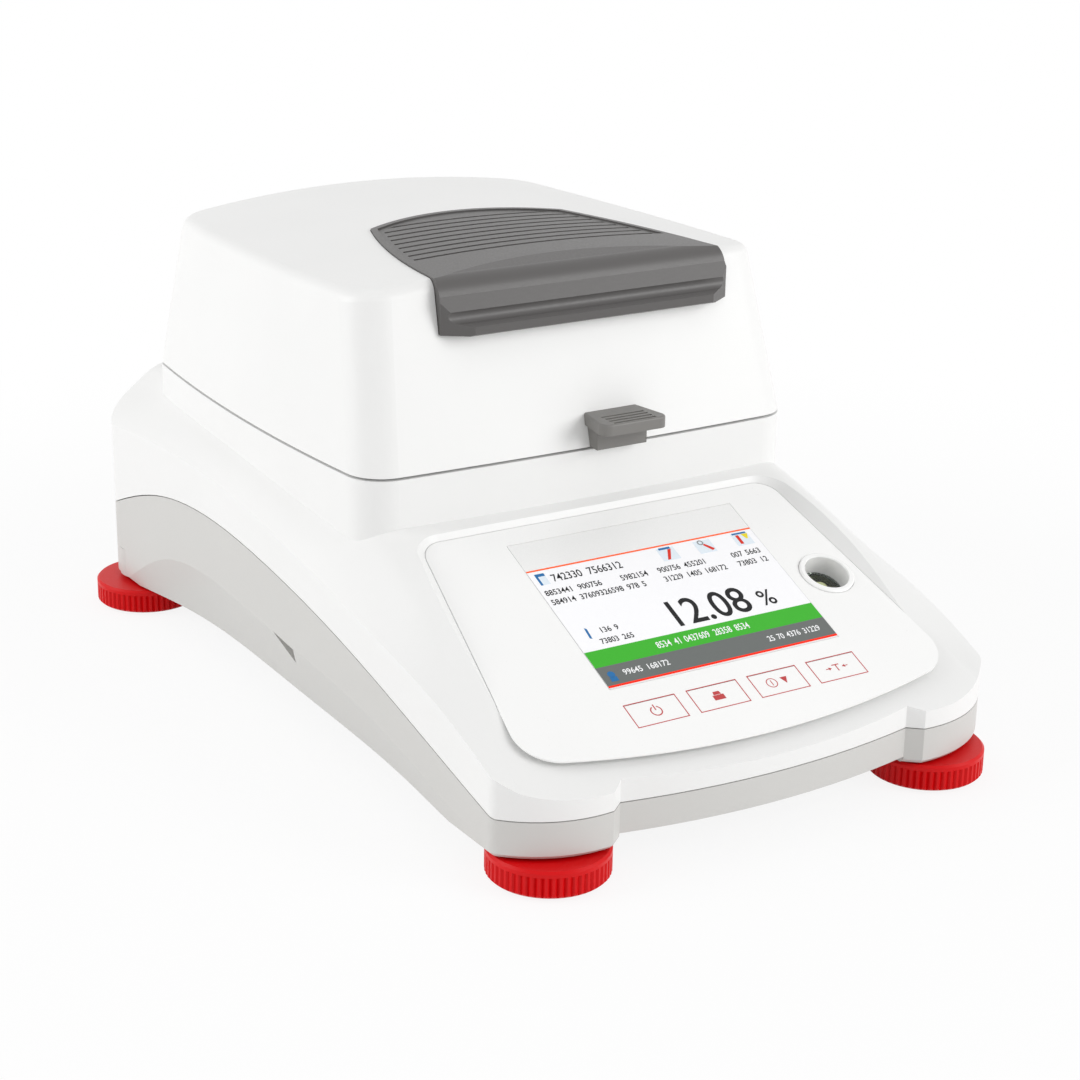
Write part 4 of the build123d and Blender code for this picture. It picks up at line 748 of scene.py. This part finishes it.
class ANALYZER_OT_heater(bpy.types.Operator):
    """Finish the heater, its glass and the lid's inner frame"""

    bl_idname = "analyzer.heater"
    bl_label = "Heater"

    def execute(self, context):
        looks = context.scene.analyzer_finishes
        low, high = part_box("heater_glass")
        centre = upright_axis(low, high)
        paint(moulded("heat-proof enamel", linear("6f6e6b"), 0.5, looks.grain), "lid_inner_frame")
        paint(spun("spun bright aluminium", linear("e4e2dc"), centre, 0.12), "reflector")
        paint(clear("tempered heater glass", linear("eef3f3")), "heater_glass")
        paint(clear("quartz tube", linear("f7f7f5"), 0.08), "halogen_lamp")
        paint(moulded("fired ceramic", linear("e2ddd0"), 0.7, looks.grain), "lamp_socket")
        paint(moulded("cast red silicone", linear("9c4a34"), 0.6, looks.grain), "glass_seal")
        return {"FINISHED"}


class ANALYZER_OT_hardware(bpy.types.Operator):
    """Finish the hinge, screws, sensor, weighing cell, boards and sockets"""

    bl_idname = "analyzer.hardware"
    bl_label = "Hardware"

    def execute(self, context):
        looks = context.scene.analyzer_finishes
        coat = moulded("dark powder coat", linear("5a5957"), 0.5, looks.grain)
        paint(coat, "hinge_brackets", "lid_hinge_arms")
        steel = brushed("turned steel", linear("a6a5a2"), 0.3, (1, 0, 0))
        paint(steel, "hinge_pins", "pan_shaft", "housing_screws", "lid_screws", "glass_retainer",
              "temperature_sensor")
        milled = brushed("milled aluminium", linear("c3c3c1"), 0.35, (0, 1, 0))
        paint(milled, "load_cell", "load_cell_mount")
        board = moulded("solder-masked laminate", linear("1f6b3a"), 0.35, looks.grain)
        paint(board, "main_board", "power_supply", "keypad_board")
        paint(moulded("moulded black nylon", linear("262626"), 0.45, looks.grain), "power_inlet")
        plated = brushed("plated socket shell", linear("b0b0ae"), 0.25, (0, 1, 0))
        paint(plated, "serial_port", "usb_host_port", "usb_device_port")
        return {"FINISHED"}


def seen_directly(tree):
    """One for a ray that comes from the camera, a reflection or a clear piece."""
    path = add(tree, "ShaderNodeLightPath")
    seen = path.outputs["Is Camera Ray"]
    for ray in ("Is Glossy Ray", "Is Transmission Ray"):
        links = {0: seen, 1: path.outputs[ray]}
        seen = add(tree, "ShaderNodeMath", {"operation": "MAXIMUM"}, links).outputs["Value"]
    return seen


class ANALYZER_OT_stage(bpy.types.Operator):
    """Set the camera, floor, lights and background"""

    bl_idname = "analyzer.stage"
    bl_label = "Stage"

    def execute(self, context):
        stage = context.scene.analyzer_stage
        self.make_camera(context, stage)
        self.make_floor(stage)
        self.make_lights(stage)
        self.make_world(context, stage)
        context.scene.view_settings.view_transform = "Standard"
        return {"FINISHED"}

    def make_camera(self, context, stage):
        data = bpy.data.cameras.new("camera")
        data.sensor_width = 36.0
        data.lens = stage.lens
        data.clip_end = 50.0
        camera = bpy.data.objects.new("camera", data)
        context.collection.objects.link(camera)
        az, el = stage.azimuth, stage.elevation
        back = Vector((math.sin(az) * math.cos(el), -math.cos(az) * math.cos(el), math.sin(el)))
        side = Vector((math.cos(az), math.sin(az), 0))
        up = back.cross(side)
        turn = Matrix((side, up, back)).transposed() @ Matrix.Rotation(stage.roll, 3, "Z")
        camera.matrix_world = Matrix.Translation(Vector(stage.eye)) @ turn.to_4x4()
        context.scene.camera = camera

    def make_floor(self, stage):
        """A pale floor that keeps the shadow near the object and fades to white."""
        bm = bmesh.new()
        bmesh.ops.create_circle(bm, cap_ends=True, segments=96, radius=FLOOR_RADIUS)
        mesh = bpy.data.meshes.new("floor")
        bm.to_mesh(mesh)
        bm.free()
        floor = bpy.data.objects.new("floor", mesh)
        bpy.context.collection.objects.link(floor)
        material, tree, surface, place = new_material("pale studio floor")
        surface.inputs["Base Color"].default_value = linear("f4f4f4")
        surface.inputs["Roughness"].default_value = 0.9
        distance = add(tree, "ShaderNodeVectorMath", {"operation": "LENGTH"}, {0: place})
        fade = add(
            tree, "ShaderNodeMapRange",
            {"From Min": FADE_START, "From Max": FADE_END, "To Min": stage.floor_near,
             "interpolation_type": "SMOOTHSTEP"},
            {"Value": distance.outputs["Value"]},
        )
        seen = seen_directly(tree)
        amount = add(tree, "ShaderNodeMath", {"operation": "MULTIPLY"},
                     {0: seen, 1: fade.outputs["Result"]})
        white = add(tree, "ShaderNodeEmission", {"Strength": 1.0})
        mixed = add(
            tree, "ShaderNodeMixShader", None,
            {0: amount.outputs["Value"], 1: surface.outputs["BSDF"], 2: white.outputs["Emission"]},
        )
        output = next(n for n in tree.nodes if n.type == "OUTPUT_MATERIAL")
        tree.links.new(mixed.outputs["Shader"], output.inputs["Surface"])
        mesh.materials.append(material)

    def make_lights(self, stage):
        for name, place, power in (
            ("front light", FRONT_LAMP, stage.key_power),
            ("side light", SIDE_LAMP, stage.side_power),
        ):
            data = bpy.data.lights.new(name, "AREA")
            data.shape = "DISK"
            data.size = LAMP_SIZE
            data.energy = power
            lamp = bpy.data.objects.new(name, data)
            bpy.context.collection.objects.link(lamp)
            aim = (Vector(LAMP_TARGET) - Vector(place)).to_track_quat("-Z", "Y")
            lamp.matrix_world = Matrix.Translation(place) @ aim.to_matrix().to_4x4()

    def make_world(self, context, stage):
        world = bpy.data.worlds.new("studio")
        world.use_nodes = True
        tree = world.node_tree
        tree.nodes.clear()
        seen = seen_directly(tree)
        plain = (1, 1, 1, 1)
        light = add(tree, "ShaderNodeBackground", {"Color": plain, "Strength": stage.sky})
        white = add(tree, "ShaderNodeBackground", {"Color": plain, "Strength": 1.0})
        mixed = add(
            tree, "ShaderNodeMixShader", None,
            {0: seen, 1: light.outputs["Background"], 2: white.outputs["Background"]},
        )
        add(tree, "ShaderNodeOutputWorld", None, {"Surface": mixed.outputs["Shader"]})
        context.scene.world = world


OPERATORS = (
    ANALYZER_OT_housings,
    ANALYZER_OT_lid_trim,
    ANALYZER_OT_feet,
    ANALYZER_OT_panel,
    ANALYZER_OT_picture,
    ANALYZER_OT_legends,
    ANALYZER_OT_level,
    ANALYZER_OT_chamber,
    ANALYZER_OT_heater,
    ANALYZER_OT_hardware,
    ANALYZER_OT_stage,
)


class ANALYZER_PT_sidebar(bpy.types.Panel):
    """Lists the analyzer's pieces"""

    bl_label = "Moisture Analyzer"
    bl_idname = "ANALYZER_PT_sidebar"
    bl_space_type = "VIEW_3D"
    bl_region_type = "UI"
    bl_category = "Analyzer"

    def draw(self, context):
        for operator in OPERATORS:
            self.layout.operator(operator.bl_idname)
        for group in (context.scene.analyzer_finishes, context.scene.analyzer_screen,
                      context.scene.analyzer_stage):
            box = self.layout.box()
            for name in group.__annotations__:
                box.prop(group, name)


GROUPS = (
    ("analyzer_finishes", ANALYZER_PG_finishes),
    ("analyzer_screen", ANALYZER_PG_screen),
    ("analyzer_stage", ANALYZER_PG_stage),
)


def register():
    for name, group in GROUPS:
        bpy.utils.register_class(group)
        setattr(bpy.types.Scene, name, bpy.props.PointerProperty(type=group))
    for item in (*OPERATORS, ANALYZER_PT_sidebar):
        bpy.utils.register_class(item)


def unregister():
    for item in (ANALYZER_PT_sidebar, *reversed(OPERATORS)):
        bpy.utils.unregister_class(item)
    for name, group in reversed(GROUPS):
        delattr(bpy.types.Scene, name)
        bpy.utils.unregister_class(group)


def main():
    register()
    for operator in OPERATORS:
        family, name = operator.bl_idname.split(".")
        getattr(getattr(bpy.ops, family), name)()


if __name__ == "__main__":
    main()
